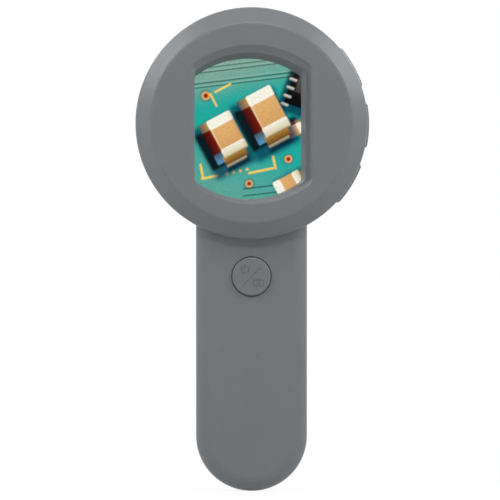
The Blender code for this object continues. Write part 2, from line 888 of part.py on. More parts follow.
def key_switches():
    for number, key_datum in enumerate(key_datums, 1):
        front = board_back + touch_gap
        back = front + switch_height
        body_end = switch_reach - plunger_length
        name = f"key_switch_{number}"
        centre = (body_end - switch_length / 2, 0)
        switch = block(name, centre, switch_length, switch_width, front, back, key_datum, black_plastic(name))
        join(switch, stud(f"{name}_plunger", plunger_radius, body_end - plunger_length, switch_reach,
                          (front + back) / 2, key_datum))


def stud(name, radius, low, high, depth, parent, material=None):
    # A short round bar along the datum's X axis
    rings = []
    for x in (low, high):
        circle = arc((depth, 0), radius, 0, 2 * math.pi, screw_steps)[:-1]
        rings.append([(x, y, z) for y, z in circle])
    return loft(name, rings, parent, material)


def side_keys():
    for number, key_datum in enumerate(key_datums, 1):
        name = f"side_key_{number}"
        outer = head_radius + key_proud
        lean = math.asin(key_length / 2 / outer)
        root = key_flange_outer - key_flange_thickness / 2
        outline = [(root, -key_length / 2)] + arc((0, 0), outer, -lean, lean, round_rows)
        outline.append((root, key_length / 2))
        low = seam_depth - key_height / 2
        high = seam_depth + key_height / 2
        key = prism(name, outline, low, high, key_datum, grey_plastic(name))
        round_edges(key, key_edge)
        join(key, key_foot(name, low - key_flange, high + key_flange, key_datum))
        nub_depth = board_back + touch_gap + switch_height / 2
        join(key, stud(f"{name}_nub", key_nub_radius, key_nub_end, key_flange_inner + key_flange_thickness / 2,
                       nub_depth, key_datum))


def key_foot(name, low, high, key_datum):
    # The flange behind the wall, curved like it
    half = key_length / 2 + key_flange
    lean = math.asin(half / key_flange_outer)
    outer = arc((0, 0), key_flange_outer, -lean, lean, round_rows)
    inner = [(x - key_flange_thickness, z) for x, z in reversed(outer)]
    return prism(f"{name}_flange", outer + inner, low, high, key_datum)


def power_button():
    front = grip_front - button_proud
    corners = [
        (0, front, 0),
        (button_radius, front, button_edge),
        (button_radius, button_flange_front, 0),
        (button_radius + button_flange, button_flange_front, 0),
        (button_radius + button_flange, button_flange_back, 0),
        (button_stem_radius, button_flange_back, 0),
        (button_stem_radius, button_stem_end, 0),
        (0, button_stem_end, 0),
    ]
    lathe("power_button", corners, button_datum, grey_plastic("power_button"), ring_steps)


def button_electronics():
    board = block("button_board", (0, button_height), button_board_width, button_board_height,
                  button_board_front, button_board_back, grip_datum, green_board("button_board"))
    for number, side in enumerate((-1, 1), 1):
        place = (0, button_height + side * stake_reach)
        cut(board, pillar(f"stake_hole_{number}", place, stake_radius + touch_gap,
                          button_board_front - cut_overrun, button_board_back + cut_overrun, grip_datum, None,
                          screw_steps))
    back = button_board_front - touch_gap
    front = back - power_switch_height
    switch = block("power_switch", (0, button_height), power_switch_size, power_switch_size, front, back,
                   grip_datum, black_plastic("power_switch"))
    join(switch, pillar("power_switch_plunger", (0, button_height), button_stem_radius, power_plunger_front,
                        front + power_switch_height / 2, grip_datum, None, screw_steps))


def grip_electronics():
    inset = shell_wall + grip_board_gap
    outline = arc((0, grip_half), grip_half - inset, math.pi, 2 * math.pi, end_steps)
    outline += [(grip_half - inset, grip_board_top), (inset - grip_half, grip_board_top)]
    prism("grip_board", outline, grip_board_front, grip_board_back, grip_datum, green_board("grip_board"))
    usb_socket()
    card_socket()


def usb_socket():
    back = grip_board_front - touch_gap
    middle = back - usb_height / 2

    def ring(width, height, corner, z):
        corners = [
            (-width / 2, middle - height / 2, corner),
            (width / 2, middle - height / 2, corner),
            (width / 2, middle + height / 2, corner),
            (-width / 2, middle + height / 2, corner),
        ]
        return [(x, y, z) for x, y in soften(corners)]

    top = usb_inset + usb_length
    rings = [ring(usb_width, usb_height, usb_corner, z) for z in (usb_inset, top)]
    socket = loft("usb_socket", rings, grip_datum, steel("usb_socket"))
    inner_width = usb_width - 2 * usb_wall
    inner_height = usb_height - 2 * usb_wall
    inner_corner = usb_corner - usb_wall
    floor = top - 2 * usb_wall
    rings = [ring(inner_width, inner_height, inner_corner, z) for z in (usb_inset - cut_overrun, floor)]
    cut(socket, loft("usb_mouth", rings, grip_datum))
    rings = [ring(usb_tongue_width, usb_tongue, 0.0, z) for z in (usb_inset + usb_wall, top - usb_wall)]
    join(socket, loft("usb_tongue", rings, grip_datum))


def card_socket():
    front = grip_board_back + touch_gap
    bottom = grip_half - math.sqrt((grip_half - shell_wall) ** 2 - (card_width / 2) ** 2) + touch_gap
    middle = bottom + card_length / 2
    socket = block("card_socket", (0, middle), card_width, card_length, front, front + card_height, grip_datum,
                   steel("card_socket"))
    centre = front + card_height / 2
    slot = block("card_slot", (0, bottom + (card_slot_depth - cut_overrun) / 2), card_slot_width,
                 card_slot_depth + cut_overrun, centre - card_slot_height / 2, centre + card_slot_height / 2,
                 grip_datum)
    cut(socket, slot)


def battery():
    centre = (0, (battery_bottom + battery_top) / 2)
    cell = block("battery_cell", centre, battery_width, battery_top - battery_bottom, battery_front,
                 inner_back - touch_gap, grip_datum, finish("battery_cell", (0.35, 0.37, 0.4), 0.4, 0.6))
    round_edges(cell, battery_edge)


def grip_ribbon():
    # From the back of the main board, past the button's board, to the front of the grip board
    top = head_height - board_radius + cable_tail
    start = board_back + touch_gap + cable_thickness / 2
    end = grip_board_front - touch_gap - cable_thickness / 2
    bottom = grip_board_top - cable_tail
    side = grip_half - shell_wall - touch_gap - cable_width / 2 - touch_gap
    line = [
        (start, top),
        (start, top - cable_tail),
        (cable_depth, top - cable_tail - cable_bend),
        (cable_depth, grip_board_top + cable_bend),
        (end, grip_board_top),
        (end, bottom),
    ]
    strip("grip_ribbon", line, -side, cable_width, cable_thickness, grip_datum,
          finish("grip_ribbon", (0.55, 0.27, 0.05), 0.4))


def lens_tube():
    corners = [
        (chamber_bore, tube_front, 0),
        (chamber_radius, tube_front, 0),
        (chamber_radius, tube_flange_front, 0),
        (tube_flange_radius, tube_flange_front, 0),
        (tube_flange_radius, tube_flange_back, 0),
        (tube_radius, tube_flange_back, 0),
        (tube_radius, tube_end, 0),
        (ledge_radius, tube_end, 0),
        (ledge_radius, hood_base, 0),
        (tube_bore, hood_base, 0),
        (tube_bore, tube_flange_back, 0),
        (chamber_bore, tube_flange_back, 0),
    ]
    tube = lathe("lens_tube", corners, head_axis, black_plastic("lens_tube"))
    for number, angle in enumerate(pin_angles, 1):
        turned = datum(f"slot_datum_{number}", (0, 0, 0), -angle, head_axis)
        half = slot_width / 2
        reach = focus_travel + half
        outline = [(tube_bore - cut_overrun, -half), (tube_radius + cut_overrun, -half)]
        outline += [(tube_radius + cut_overrun, half), (tube_bore - cut_overrun, half)]
        cut(tube, prism(f"guide_slot_{number}", outline, ring_middle - reach, ring_middle + reach, turned))
    for number, angle in enumerate(tube_screw_angles, 1):
        place = on_head(tube_screw_reach, angle)
        cut(tube, pillar(f"flange_hole_{number}", place, tube_screw_radius + touch_gap,
                         tube_flange_front - cut_overrun, tube_flange_back + cut_overrun, head_axis, None,
                         screw_steps))
        back = tube_flange_front + tube_screw_length - touch_gap
        under = tube_flange_front - touch_gap
        corners = [
            (0, under - tube_screw_head_height, 0),
            (tube_screw_head_radius, under - tube_screw_head_height, 0),
            (tube_screw_head_radius, under, 0),
            (tube_screw_radius, under, 0),
            (tube_screw_radius, back, 0),
            (0, back, 0),
        ]
        name = f"tube_screw_{number}"
        lathe(name, corners, head_axis, steel(name), screw_steps, place)


def sensor():
    block("sensor_board", (0, 0), sensor_board_size, sensor_board_size, sensor_board_front, sensor_board_back,
          head_axis, green_board("sensor_board"), sensor_board_corner)
    front = sensor_board_back + touch_gap
    block("image_sensor", (0, 0), sensor_size, sensor_size, front, front + sensor_height, head_axis,
          black_plastic("image_sensor"))


def lens_carrier():
    stop_start = cell_front + stop_front
    stop_end = stop_start + stop_length
    corners = [
        (cell_bore, cell_front, 0),
        (cell_radius, cell_front, 0),
        (cell_radius, carrier_front, 0),
        (carrier_radius, carrier_front, 0),
        (carrier_radius, carrier_back, 0),
        (cell_bore, carrier_back, 0),
        (cell_bore, stop_end, 0),
        (cell_bore - stop_width, stop_end, 0),
        (cell_bore - stop_width, stop_start, 0),
        (cell_bore, stop_start, 0),
    ]
    carrier = lathe("lens_carrier", corners, carrier_datum, black_plastic("lens_carrier"))
    lens("rear_lens", stop_start - touch_gap - lens_edge)
    lens("objective_lens", stop_end + touch_gap)
    front = stop_end + 2 * touch_gap + lens_edge
    outer = cell_bore - touch_gap
    corners = [
        (outer - retainer_wall, front, 0),
        (outer, front, 0),
        (outer, front + retainer_length, 0),
        (outer - retainer_wall, front + retainer_length, 0),
    ]
    lathe("lens_retainer", corners, carrier_datum, steel("lens_retainer"))
    for number, angle in enumerate(pin_angles, 1):
        turned = datum(f"pin_datum_{number}", (0, 0, 0), -angle, carrier_datum)
        low = carrier_radius - pin_root
        high = tube_radius + pin_reach
        cut(carrier, stud(f"pin_hole_{number}", pin_radius + touch_gap, low - touch_gap,
                          carrier_radius + cut_overrun, ring_middle, turned))
        name = f"guide_pin_{number}"
        stud(name, pin_radius, low, high, ring_middle, turned, steel(name))


def lens(name, front):
    # A disc with both faces bulged, as arcs of a sphere
    radius = cell_bore - touch_gap
    rows = spread(0, 1, round_rows)
    back = front + lens_edge
    corners = [(radius * share, front - lens_bulge * (1 - share ** 2), 0) for share in rows]
    corners += [(radius * share, back + lens_bulge * (1 - share ** 2), 0) for share in reversed(rows)]
    lathe(name, corners, carrier_datum, clear_plastic(name), 2 * small_steps)


def focus_ring():
    rows = [
        (ring_radius - ring_chamfer, 0.0, ring_front),
        (ring_radius, rib_depth, ring_front + ring_chamfer),
        (ring_radius, rib_depth, ring_back - ring_chamfer),
        (ring_radius - ring_chamfer, 0.0, ring_back),
    ]
    rings = [at_depth(ribbed_circle(radius, depth), place) for radius, depth, place in rows]
    ring = loft("focus_ring", rings, ring_datum, black_plastic("focus_ring"))
    cut(ring, pillar("ring_hole", (0, 0), ring_bore, ring_front - cut_overrun, ring_back + cut_overrun,
                     ring_datum, None, ring_steps))
    for number, angle in enumerate(pin_angles, 1):
        cut(ring, spiral_groove(f"spiral_groove_{number}", angle))


def ribbed_circle(radius, depth):
    # Each rib has a crest and a root, each as wide as the flank between them
    points = []
    for rib in range(rib_count):
        for step, reach in enumerate((radius, radius, radius - depth, radius - depth)):
            points.append(on_head(reach, 2 * math.pi * (rib + step / 4) / rib_count))
    return points


def spiral_groove(name, angle):
    # The pin's path as the ring turns, so the groove climbs by the travel over the turn
    half = slot_width / 2
    margin = half / groove_radius
    rings = []
    for turn in spread(-focus_turn - margin, focus_turn + margin, 3 * round_rows):
        middle = ring_middle + focus_travel * turn / focus_turn
        ring = []
        for reach, depth in ((ring_bore - cut_overrun, -half), (groove_radius, -half), (groove_radius, half),
                             (ring_bore - cut_overrun, half)):
            x, z = on_head(reach, angle + turn)
            ring.append((x, middle + depth, z))
        rings.append(ring)
    return loft(name, rings, ring_datum)


def lamps():
    outer = ledge_radius - touch_gap
    corners = [
        (led_board_bore, led_board_front, 0),
        (outer, led_board_front, 0),
        (outer, led_board_back, 0),
        (led_board_bore, led_board_back, 0),
    ]
    lathe("led_board", corners, head_axis, finish("led_board", (0.85, 0.86, 0.85), 0.5))
    for number in range(led_count):
        angle = 2 * math.pi * (number + 0.5) / led_count
        turned = datum(f"led_datum_{number + 1}", (0, 0, 0), -angle, head_axis)
        name = f"led_{number + 1}"
        led = block(name, (led_circle, 0), led_size, led_size, led_front, led_back, turned,
                    finish(name, (0.95, 0.85, 0.35), 0.3))
        inside = led_back - led_height / 2
        dome = [(0, inside, 0), (led_dome, inside, 0), (led_dome, led_back, 0),
                (led_dome / 2, led_back + touch_gap / 2, 0), (0, led_back + touch_gap / 2, 0)]
        join(led, lathe(f"{name}_dome", dome, turned, None, screw_steps, (led_circle, 0)))
    outer = hood_bore - touch_gap
    corners = [
        (led_board_bore, diffuser_front, 0),
        (outer, diffuser_front, 0),
        (outer, diffuser_front + diffuser_thickness, 0),
        (led_board_bore, diffuser_front + diffuser_thickness, 0),
    ]
    lathe("diffuser_ring", corners, head_axis, finish("diffuser_ring", (0.9, 0.9, 0.9), 0.4))


def clear_hood():
    base = hood_bore + hood_base_wall
    corners = [
        (hood_bore, hood_base, 0),
        (base, hood_base, 0),
        (base, hood_base + hood_base_height, 0),
        (hood_rim_bore + hood_rim_wall, hood_rim, 0),
        (hood_rim_bore, hood_rim, 0),
        (hood_bore, led_back, 0),
        (hood_bore - hood_ledge, led_back, 0),
        (hood_bore - hood_ledge, tube_end + touch_gap, 0),
        (hood_bore, tube_end + touch_gap, 0),
    ]
    lathe("clear_hood", corners, head_axis, clear_plastic("clear_hood"))


clear_objects()
front_plane = -total_depth / 2
grip_datum = datum("grip_datum", (0, front_plane, 0))
head_axis = datum("head_axis", (0, front_plane, head_height))
button_datum = datum("button_axis", (0, front_plane, button_height))
ring_datum = datum("focus_axis", (0, front_plane, head_height))
carrier_datum = datum("carrier_axis", (0, front_plane, head_height))
key_datums = [
    datum(f"key_datum_{number}", (0, front_plane, head_height), -angle)
    for number, angle in enumerate(key_angles, 1)
]

grip_solid = grip_slab("grip_solid", 0.0, grip_front, grip_back, head_height - collar_radius / 2, grip_datum)
spine_top = head_height - collar_radius - touch_gap
grip_space = grip_slab("grip_space", shell_wall, inner_front, inner_back, spine_top, grip_datum)
head_space = head_hollow()
key_slots = key_cutters()
usb_hole = usb_cutter()

front_housing()
rear_housing()
housing_screws()
display_window()
display()
main_board()
key_switches()
side_keys()
power_button()
button_electronics()
grip_electronics()
battery()
grip_ribbon()
lens_tube()
sensor()
lens_carrier()
focus_ring()
lamps()
clear_hood()
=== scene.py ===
import math

import bmesh
import bpy
import numpy as np
from mathutils import Euler, Matrix, Vector


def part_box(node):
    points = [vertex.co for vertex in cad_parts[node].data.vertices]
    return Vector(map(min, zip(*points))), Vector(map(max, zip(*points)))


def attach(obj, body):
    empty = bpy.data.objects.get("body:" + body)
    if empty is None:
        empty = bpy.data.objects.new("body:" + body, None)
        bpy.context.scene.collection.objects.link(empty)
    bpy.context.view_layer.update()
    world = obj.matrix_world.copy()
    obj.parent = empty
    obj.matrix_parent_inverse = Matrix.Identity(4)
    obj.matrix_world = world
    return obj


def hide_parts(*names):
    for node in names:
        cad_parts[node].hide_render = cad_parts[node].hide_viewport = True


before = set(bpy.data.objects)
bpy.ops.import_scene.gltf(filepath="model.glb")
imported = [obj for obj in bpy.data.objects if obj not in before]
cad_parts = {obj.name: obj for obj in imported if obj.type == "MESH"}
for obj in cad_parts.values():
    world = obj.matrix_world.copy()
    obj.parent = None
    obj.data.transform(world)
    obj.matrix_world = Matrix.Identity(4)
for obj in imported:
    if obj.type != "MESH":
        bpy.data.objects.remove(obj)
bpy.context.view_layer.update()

mm = 0.001
fullTurn = 2 * math.pi
quarterTurn = math.pi / 2
joinDistance = 0.002 * mm
sharpAngle = math.radians(34)
overrun = 1.5  # how far a cutting shape stands past what it cuts


def boxMiddle(node):
    low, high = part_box(node)
    return (low + high) / 2


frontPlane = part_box("front_housing")[0].y
axisHeight = boxMiddle("clear_hood").z
planeDepth = frontPlane / mm
headCentre = (0, axisHeight / mm)
buttonCentre = (0, boxMiddle("power_button").z / mm)


# Points and meshes

def spread(start, end, steps):
    return [start + (end - start) * step / steps for step in range(steps + 1)]


def arc(centre, radius, start, end, steps):
    return [(centre[0] + radius * math.cos(turn), centre[1] + radius * math.sin(turn))
            for turn in spread(start, end, steps)]


def soften(corners, steps):
    # Corners (x, y) or (x, y, radius) become points, with an arc where a corner has a radius
    points = []
    for index, (x, y, *rounding) in enumerate(corners):
        radius = rounding[0] if rounding else 0
        if radius <= 0:
            points.append((x, y))
            continue
        corner = Vector((x, y))
        before = (Vector(corners[index - 1][:2]) - corner).normalized()
        after = (Vector(corners[(index + 1) % len(corners)][:2]) - corner).normalized()
        half = before.angle(after) / 2
        centre = corner + (before + after).normalized() * (radius / math.sin(half))
        first = corner + before * (radius / math.tan(half)) - centre
        last = corner + after * (radius / math.tan(half)) - centre
        start = math.atan2(first.y, first.x)
        sweep = math.atan2(first.x * last.y - first.y * last.x, first.dot(last))
        points += arc(centre, radius, start, start + sweep, steps)
    return points


def oblong(width, height, corner=0.0, centre=(0, 0), steps=6):
    return soften([(centre[0] + right * width / 2, centre[1] + up * height / 2, corner)
                   for right, up in ((-1, -1), (1, -1), (1, 1), (-1, 1))], steps)


def place(point, centre=(0, 0), turn=0.0):
    # A point (right, depth, up) in mm, turned about the depth axis and moved to a centre on the front
    right, depth, up = point
    x = right * math.cos(turn) - up * math.sin(turn) + centre[0]
    z = right * math.sin(turn) + up * math.cos(turn) + centre[1]
    return (x * mm, frontPlane + depth * mm, z * mm)


def onAxis(reach, turn):
    return (reach * math.cos(turn), headCentre[1] + reach * math.sin(turn))


def latheInto(shape, corners, steps, centre, softSteps=8):
    # Spins a profile of (radius, depth, corner radius) about the depth axis through a centre
    turns = [fullTurn * step / steps for step in range(steps)]
    rows = [[shape.verts.new(place((radius * math.cos(turn), depth, radius * math.sin(turn)), centre))
             for turn in (turns if radius > 0 else [0.0])] for radius, depth in soften(corners, softSteps)]
    pairs = list(zip(rows, rows[1:]))
    if len(rows[0]) > 1:
        pairs.append((rows[-1], rows[0]))
    for near, far in pairs:
        for step in range(steps):
            after = (step + 1) % steps
            corner = [near[step % len(near)], near[after % len(near)], far[after % len(far)], far[step % len(far)]]
            shape.faces.new(list(dict.fromkeys(corner)))


def rod(radius, front, back):
    return [(0, front), (radius, front), (radius, back), (0, back)]


def rods(centres, radius, front, back, steps):
    return [(latheInto, rod(radius, front, back), steps, centre) for centre in centres]


def loftInto(shape, rings):
    loops = [[shape.verts.new(point) for point in ring] for ring in rings]
    count = len(rings[0])
    for near, far in zip(loops, loops[1:]):
        for index in range(count):
            after = (index + 1) % count
            shape.faces.new((near[index], near[after], far[after], far[index]))
    shape.faces.new(loops[0])
    shape.faces.new(loops[-1])


def slabInto(shape, outline, front, back, centre=(0, 0), turn=0.0):
    loftInto(shape, [[place((x, depth, z), centre, turn) for x, z in outline] for depth in (front, back)])


def radialInto(shape, outline, near, far, turn):
    # An outline of (across, depth) drawn outwards from the lens axis between two reaches
    loftInto(shape, [[place((reach, depth, across), headCentre, turn) for across, depth in outline]
                     for reach in (near, far)])


def gridInto(shape, grid):
    for low, high in zip(grid, grid[1:]):
        for index in range(len(low) - 1):
            shape.faces.new((low[index], low[index + 1], high[index + 1], high[index]))


def shapeOf(*steps):
    # One shape from several steps, each a building function and its values
    shape = bmesh.new()
    for build, *values in steps:
        build(shape, *values)
    return shape


def newPiece(name, shape, finish=None):
    bmesh.ops.remove_doubles(shape, verts=shape.verts, dist=joinDistance)
    bmesh.ops.recalc_face_normals(shape, faces=shape.faces)
    mesh = bpy.data.meshes.new(name)
    shape.to_mesh(mesh)
    shape.free()
    piece = bpy.data.objects.new(name, mesh)
    bpy.context.collection.objects.link(piece)
    if finish:
        mesh.materials.append(finish)
    return piece


def lathe(name, corners, finish, steps, centre=headCentre, softSteps=8):
    return newPiece(name, shapeOf((latheInto, corners, steps, centre, softSteps)), finish)


def applied(piece):
    # Turns live modifiers into plain mesh
    graph = bpy.context.evaluated_depsgraph_get()
    mesh = bpy.data.meshes.new_from_object(piece.evaluated_get(graph), preserve_all_data_layers=True, depsgraph=graph)
    piece.modifiers.clear()
    old = piece.data
    piece.data = mesh
    mesh.name = piece.name
    bpy.data.meshes.remove(old)
    return piece


def discard(piece):
    bpy.data.objects.remove(piece, do_unlink=True)


def combine(piece, operation, *steps):
    tool = newPiece("tool", shapeOf(*steps))
    step = piece.modifiers.new("shape", "BOOLEAN")
    step.operation, step.solver, step.object = operation, "EXACT", tool
    applied(piece)
    discard(tool)
    return piece


def smoothed(piece):
    # Smooth shading that keeps flat faces flat
    piece.data.shade_smooth()
    piece.data.set_sharp_from_angle(angle=sharpAngle)
    step = piece.modifiers.new("normals", "WEIGHTED_NORMAL")
    step.keep_sharp = True
    return applied(piece)


def mounted(piece, body, slotName, *nodes):
    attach(piece, body)
    if nodes:
        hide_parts(*nodes)
    return piece


# Nodes, for shaders and for Geometry Nodes

def newGroup(name, kind, inputs, outputs):
    # Each socket has its default value, or the name of its kind where it has none
    group = bpy.data.node_groups.new(name, kind)
    for side, sockets in (("INPUT", inputs), ("OUTPUT", outputs)):
        for label, value in sockets.items():
            plain = {str: value, float: "Float", int: "Int"}.get(type(value))
            socketKind = plain or {3: "Vector", 4: "Color"}[len(value)]
            made = group.interface.new_socket(label, in_out=side, socket_type="NodeSocket" + socketKind)
            if value != socketKind:
                made.default_value = value
    return group, group.nodes.new("NodeGroupInput").outputs, group.nodes.new("NodeGroupOutput")


def feed(tree, node, **sources):
    # Links or sets a node's inputs by name, with _ for a space; in3 is the input numbered 3
    for label, source in sources.items():
        socket = node.inputs[int(label[2:]) if label[2:].isdigit() else label.replace("_", " ")]
        if isinstance(source, bpy.types.NodeSocket):
            tree.links.new(source, socket)
        else:
            socket.default_value = source
    return node


def add(tree, kind, settings=None, **sources):
    node = tree.nodes.new(kind)
    for label, value in (settings or {}).items():
        setattr(node, label, value)
    return feed(tree, node, **sources)


def maths(tree, operation, first, second=0.0):
    return add(tree, "ShaderNodeMath", {"operation": operation}, in0=first, in1=second).outputs[0]


def plus(tree, first, second):
    return maths(tree, "ADD", first, second)


def minus(tree, first, second):
    return maths(tree, "SUBTRACT", first, second)


def times(tree, first, second):
    return maths(tree, "MULTIPLY", first, second)


def ranged(tree, value, low, high, toLow=0.0, toHigh=1.0, kind="SMOOTHSTEP"):
    return add(tree, "ShaderNodeMapRange", {"interpolation_type": kind}, Value=value, From_Min=low, From_Max=high,
               To_Min=toLow, To_Max=toHigh).outputs[0]


def mixed(tree, share, first, second, blend="MIX"):
    return add(tree, "ShaderNodeMix", {"data_type": "RGBA", "blend_type": blend}, in0=share, in6=first,
               in7=second).outputs[2]


def objectPoint(tree):
    return add(tree, "ShaderNodeTexCoord").outputs["Object"]


def noise(tree, where, scale, detail, roughness):
    return add(tree, "ShaderNodeTexNoise", Vector=where, Scale=scale, Detail=detail, Roughness=roughness).outputs[0]


def linear(red, green, blue):
    # An sRGB colour of 0 to 255 as the linear one that a shader takes
    def channel(value):
        value /= 255
        return value / 12.92 if value <= 0.04045 else ((value + 0.055) / 1.055) ** 2.4
    return (channel(red), channel(green), channel(blue), 1.0)


def toned(colour, factor, lift=0.0):
    # The same colour darker or lighter
    return tuple(min(1.0, factor * part + lift) for part in colour[:3]) + (1,)


# Shader groups, built once and placed in each material with its own values

grainMix = {"fine": 0.65, "coarse": 0.35, "coarseScale": 0.35, "driftScale": 34.0, "pitShade": 1.4,
            "driftShade": 0.7}
# The lighter edge colour is partly wear and partly a painted sheen along the edges
wearAndSheenMix = {"edge": 0.35, "edgeFound": (0.995, 0.93), "patchScale": 260.0, "patches": (0.3, 0.7),
           "rubbedAndSheen": (0.46, 0.47, 0.48, 1), "smoother": 0.2, "dustScale": 900.0, "dustFound": (0.58, 0.75),
           "dust": (0.40, 0.39, 0.37, 1), "rougher": 0.3}


def buildGrain():
    # Fine spark-eroded grain of a moulded surface, with a slow drift of tone
    tree, values, outside = newGroup(
        "mouldedGrain", "ShaderNodeTree",
        {"Colour": (0.2, 0.2, 0.2, 1), "Grain Size": 0.00022, "Tone": 0.06, "Roughness": 0.5,
         "Roughness Spread": 0.06}, {"Colour": "Color", "Roughness": "Float", "Height": "Float"})
    where = objectPoint(tree)
    scale = maths(tree, "DIVIDE", 1.0, values["Grain Size"])
    fine = noise(tree, where, scale, 3.0, 0.6)
    coarse = noise(tree, where, times(tree, scale, grainMix["coarseScale"]), 2.0, 0.5)
    drift = noise(tree, where, grainMix["driftScale"], 3.0, 0.55)
    pits = plus(tree, times(tree, fine, grainMix["fine"]), times(tree, coarse, grainMix["coarse"]))
    shade = plus(tree, times(tree, minus(tree, pits, 0.5), grainMix["pitShade"]),
                 times(tree, minus(tree, drift, 0.5), grainMix["driftShade"]))
    gain = plus(tree, 1.0, times(tree, shade, values["Tone"]))
    colour = add(tree, "ShaderNodeVectorMath", {"operation": "SCALE"}, in0=values["Colour"], Scale=gain)
    rough = plus(tree, values["Roughness"], times(tree, shade, values["Roughness Spread"]))
    feed(tree, outside, Colour=colour.outputs[0], Roughness=rough, Height=pits)
    return tree


def buildWearAndSheen():
    # Lighter, smoother edges found with a bevelled normal, partly wear where hands rub and partly a painted sheen, and
    # faint settled dust
    tree, values, outside = newGroup(
        "edgeWear", "ShaderNodeTree", {"Colour": (0.2, 0.2, 0.2, 1), "Roughness": 0.5, "Wear": 0.2, "Dust": 0.1},
        {"Colour": "Color", "Roughness": "Float"})
    soft = add(tree, "ShaderNodeBevel", {"samples": 4}, Radius=wearAndSheenMix["edge"] * mm)
    sharp = add(tree, "ShaderNodeNewGeometry")
    alike = add(tree, "ShaderNodeVectorMath", {"operation": "DOT_PRODUCT"}, in0=soft.outputs[0],
                in1=sharp.outputs["Normal"])
    where = objectPoint(tree)
    patchy = ranged(tree, noise(tree, where, wearAndSheenMix["patchScale"], 4.0, 0.6), *wearAndSheenMix["patches"])
    # The edge mask lightens the edges: partly wear, partly a painted sheen
    edge = times(tree, ranged(tree, alike.outputs["Value"], *wearAndSheenMix["edgeFound"]),
                 times(tree, patchy, values["Wear"]))
    specks = ranged(tree, noise(tree, where, wearAndSheenMix["dustScale"], 2.0, 0.5), *wearAndSheenMix["dustFound"])
    dust = times(tree, specks, values["Dust"])
    wornAndSheened = mixed(tree, edge, values["Colour"], wearAndSheenMix["rubbedAndSheen"])
    rough = plus(tree, minus(tree, values["Roughness"], times(tree, edge, wearAndSheenMix["smoother"])),
                 times(tree, dust, wearAndSheenMix["rougher"]))
    feed(tree, outside, Colour=mixed(tree, dust, wornAndSheened, wearAndSheenMix["dust"]), Roughness=rough)
    return tree


grainGroup, wearAndSheenGroup = buildGrain(), buildWearAndSheen()


# Finishes

def newFinish(name, **sockets):
    finish = bpy.data.materials.new(name)
    finish.use_nodes = True
    tree = finish.node_tree
    return finish, tree, feed(tree, tree.nodes["Principled BSDF"], **sockets)


def addBump(tree, shader, height, depth):
    feed(tree, shader, Normal=add(tree, "ShaderNodeBump", Height=height, Distance=depth).outputs["Normal"])


def mouldedPlastic(name, colour, look):
    finish, tree, shader = newFinish(name, Specular_IOR_Level=look["specular"])
    grain = add(tree, "ShaderNodeGroup", {"node_tree": grainGroup}, Colour=colour, Grain_Size=look["grain"] * mm,
                Tone=look["tone"], Roughness=look["roughness"], Roughness_Spread=look["spread"]).outputs
    # Lightens the edges: partly wear, partly a painted sheen
    wear = add(tree, "ShaderNodeGroup", {"node_tree": wearAndSheenGroup}, Colour=grain["Colour"],
               Roughness=grain["Roughness"], Wear=look["wear"], Dust=look["dust"]).outputs
    feed(tree, shader, Base_Color=wear["Colour"], Roughness=wear["Roughness"])
    addBump(tree, shader, grain["Height"], look["bump"] * mm)
    return finish


metalMix = {"lineScale": 900.0, "smearScale": 150.0, "smear": 0.35, "smearTone": 0.72, "smoother": 0.08,
            "spread": 0.2, "bump": 0.01}
clearMix = {"scale": 120.0, "tone": 0.96, "hazeFound": (0.3, 0.8), "smudgeFound": (0.52, 0.75), "smudge": 0.05}
boardMix = {"trackShare": 0.9, "trackBend": 1.6, "trackFound": (0.62, 0.7), "trackTone": (1.9, 0.01),
            "padFound": (0.16, 0.12), "maskRoughness": 0.38, "padRoughness": 0.25, "padMetal": 0.9, "bump": 0.03}


def brushedMetal(name, colour, roughness, streak=(1, 1, 1)):
    finish, tree, shader = newFinish(name, Metallic=1.0)
    where = objectPoint(tree)
    along = add(tree, "ShaderNodeMapping", Vector=where, Scale=streak).outputs[0]
    lines = noise(tree, along, metalMix["lineScale"], 4.0, 0.7)
    smear = ranged(tree, noise(tree, where, metalMix["smearScale"], 3.0, 0.6), 0.3, 0.7, 0.0, metalMix["smear"])
    feed(tree, shader, Base_Color=mixed(tree, smear, colour, toned(colour, metalMix["smearTone"])),
         Roughness=plus(tree, roughness - metalMix["smoother"], times(tree, lines, metalMix["spread"])))
    addBump(tree, shader, lines, metalMix["bump"] * mm)
    return finish


def clearPlastic(name, tint, roughness, ior, specular=0.5, **sockets):
    finish, tree, shader = newFinish(name, Transmission_Weight=1.0, IOR=ior, Specular_IOR_Level=specular, **sockets)
    haze = noise(tree, objectPoint(tree), clearMix["scale"], 4.0, 0.6)
    hazy = ranged(tree, haze, *clearMix["hazeFound"])
    feed(tree, shader, Base_Color=mixed(tree, hazy, tint, toned(tint, clearMix["tone"])),
         Roughness=ranged(tree, haze, *clearMix["smudgeFound"], roughness, roughness + clearMix["smudge"]))
    return finish


def circuitBoard(name, mask, copper, track):
    # Solder mask over copper tracks, with a few bare round pads
    finish, tree, shader = newFinish(name)
    where = objectPoint(tree)
    cells = add(tree, "ShaderNodeTexVoronoi", {"feature": "F1", "distance": "MANHATTAN"}, Vector=where, Scale=track)
    lines = add(tree, "ShaderNodeTexWave", {"wave_type": "BANDS", "bands_direction": "DIAGONAL"}, Vector=where,
                Scale=track * boardMix["trackShare"], Distortion=boardMix["trackBend"], Detail=1.0)
    tracks = ranged(tree, lines.outputs[1], *boardMix["trackFound"])
    pads = ranged(tree, cells.outputs["Distance"], *boardMix["padFound"])
    raised = mixed(tree, tracks, mask, toned(mask, *boardMix["trackTone"]))
    feed(tree, shader, Base_Color=mixed(tree, pads, raised, copper), Metallic=times(tree, pads, boardMix["padMetal"]),
         Roughness=ranged(tree, pads, 0.0, 1.0, boardMix["maskRoughness"], boardMix["padRoughness"]))
    addBump(tree, shader, tracks, boardMix["bump"] * mm)
    return finish


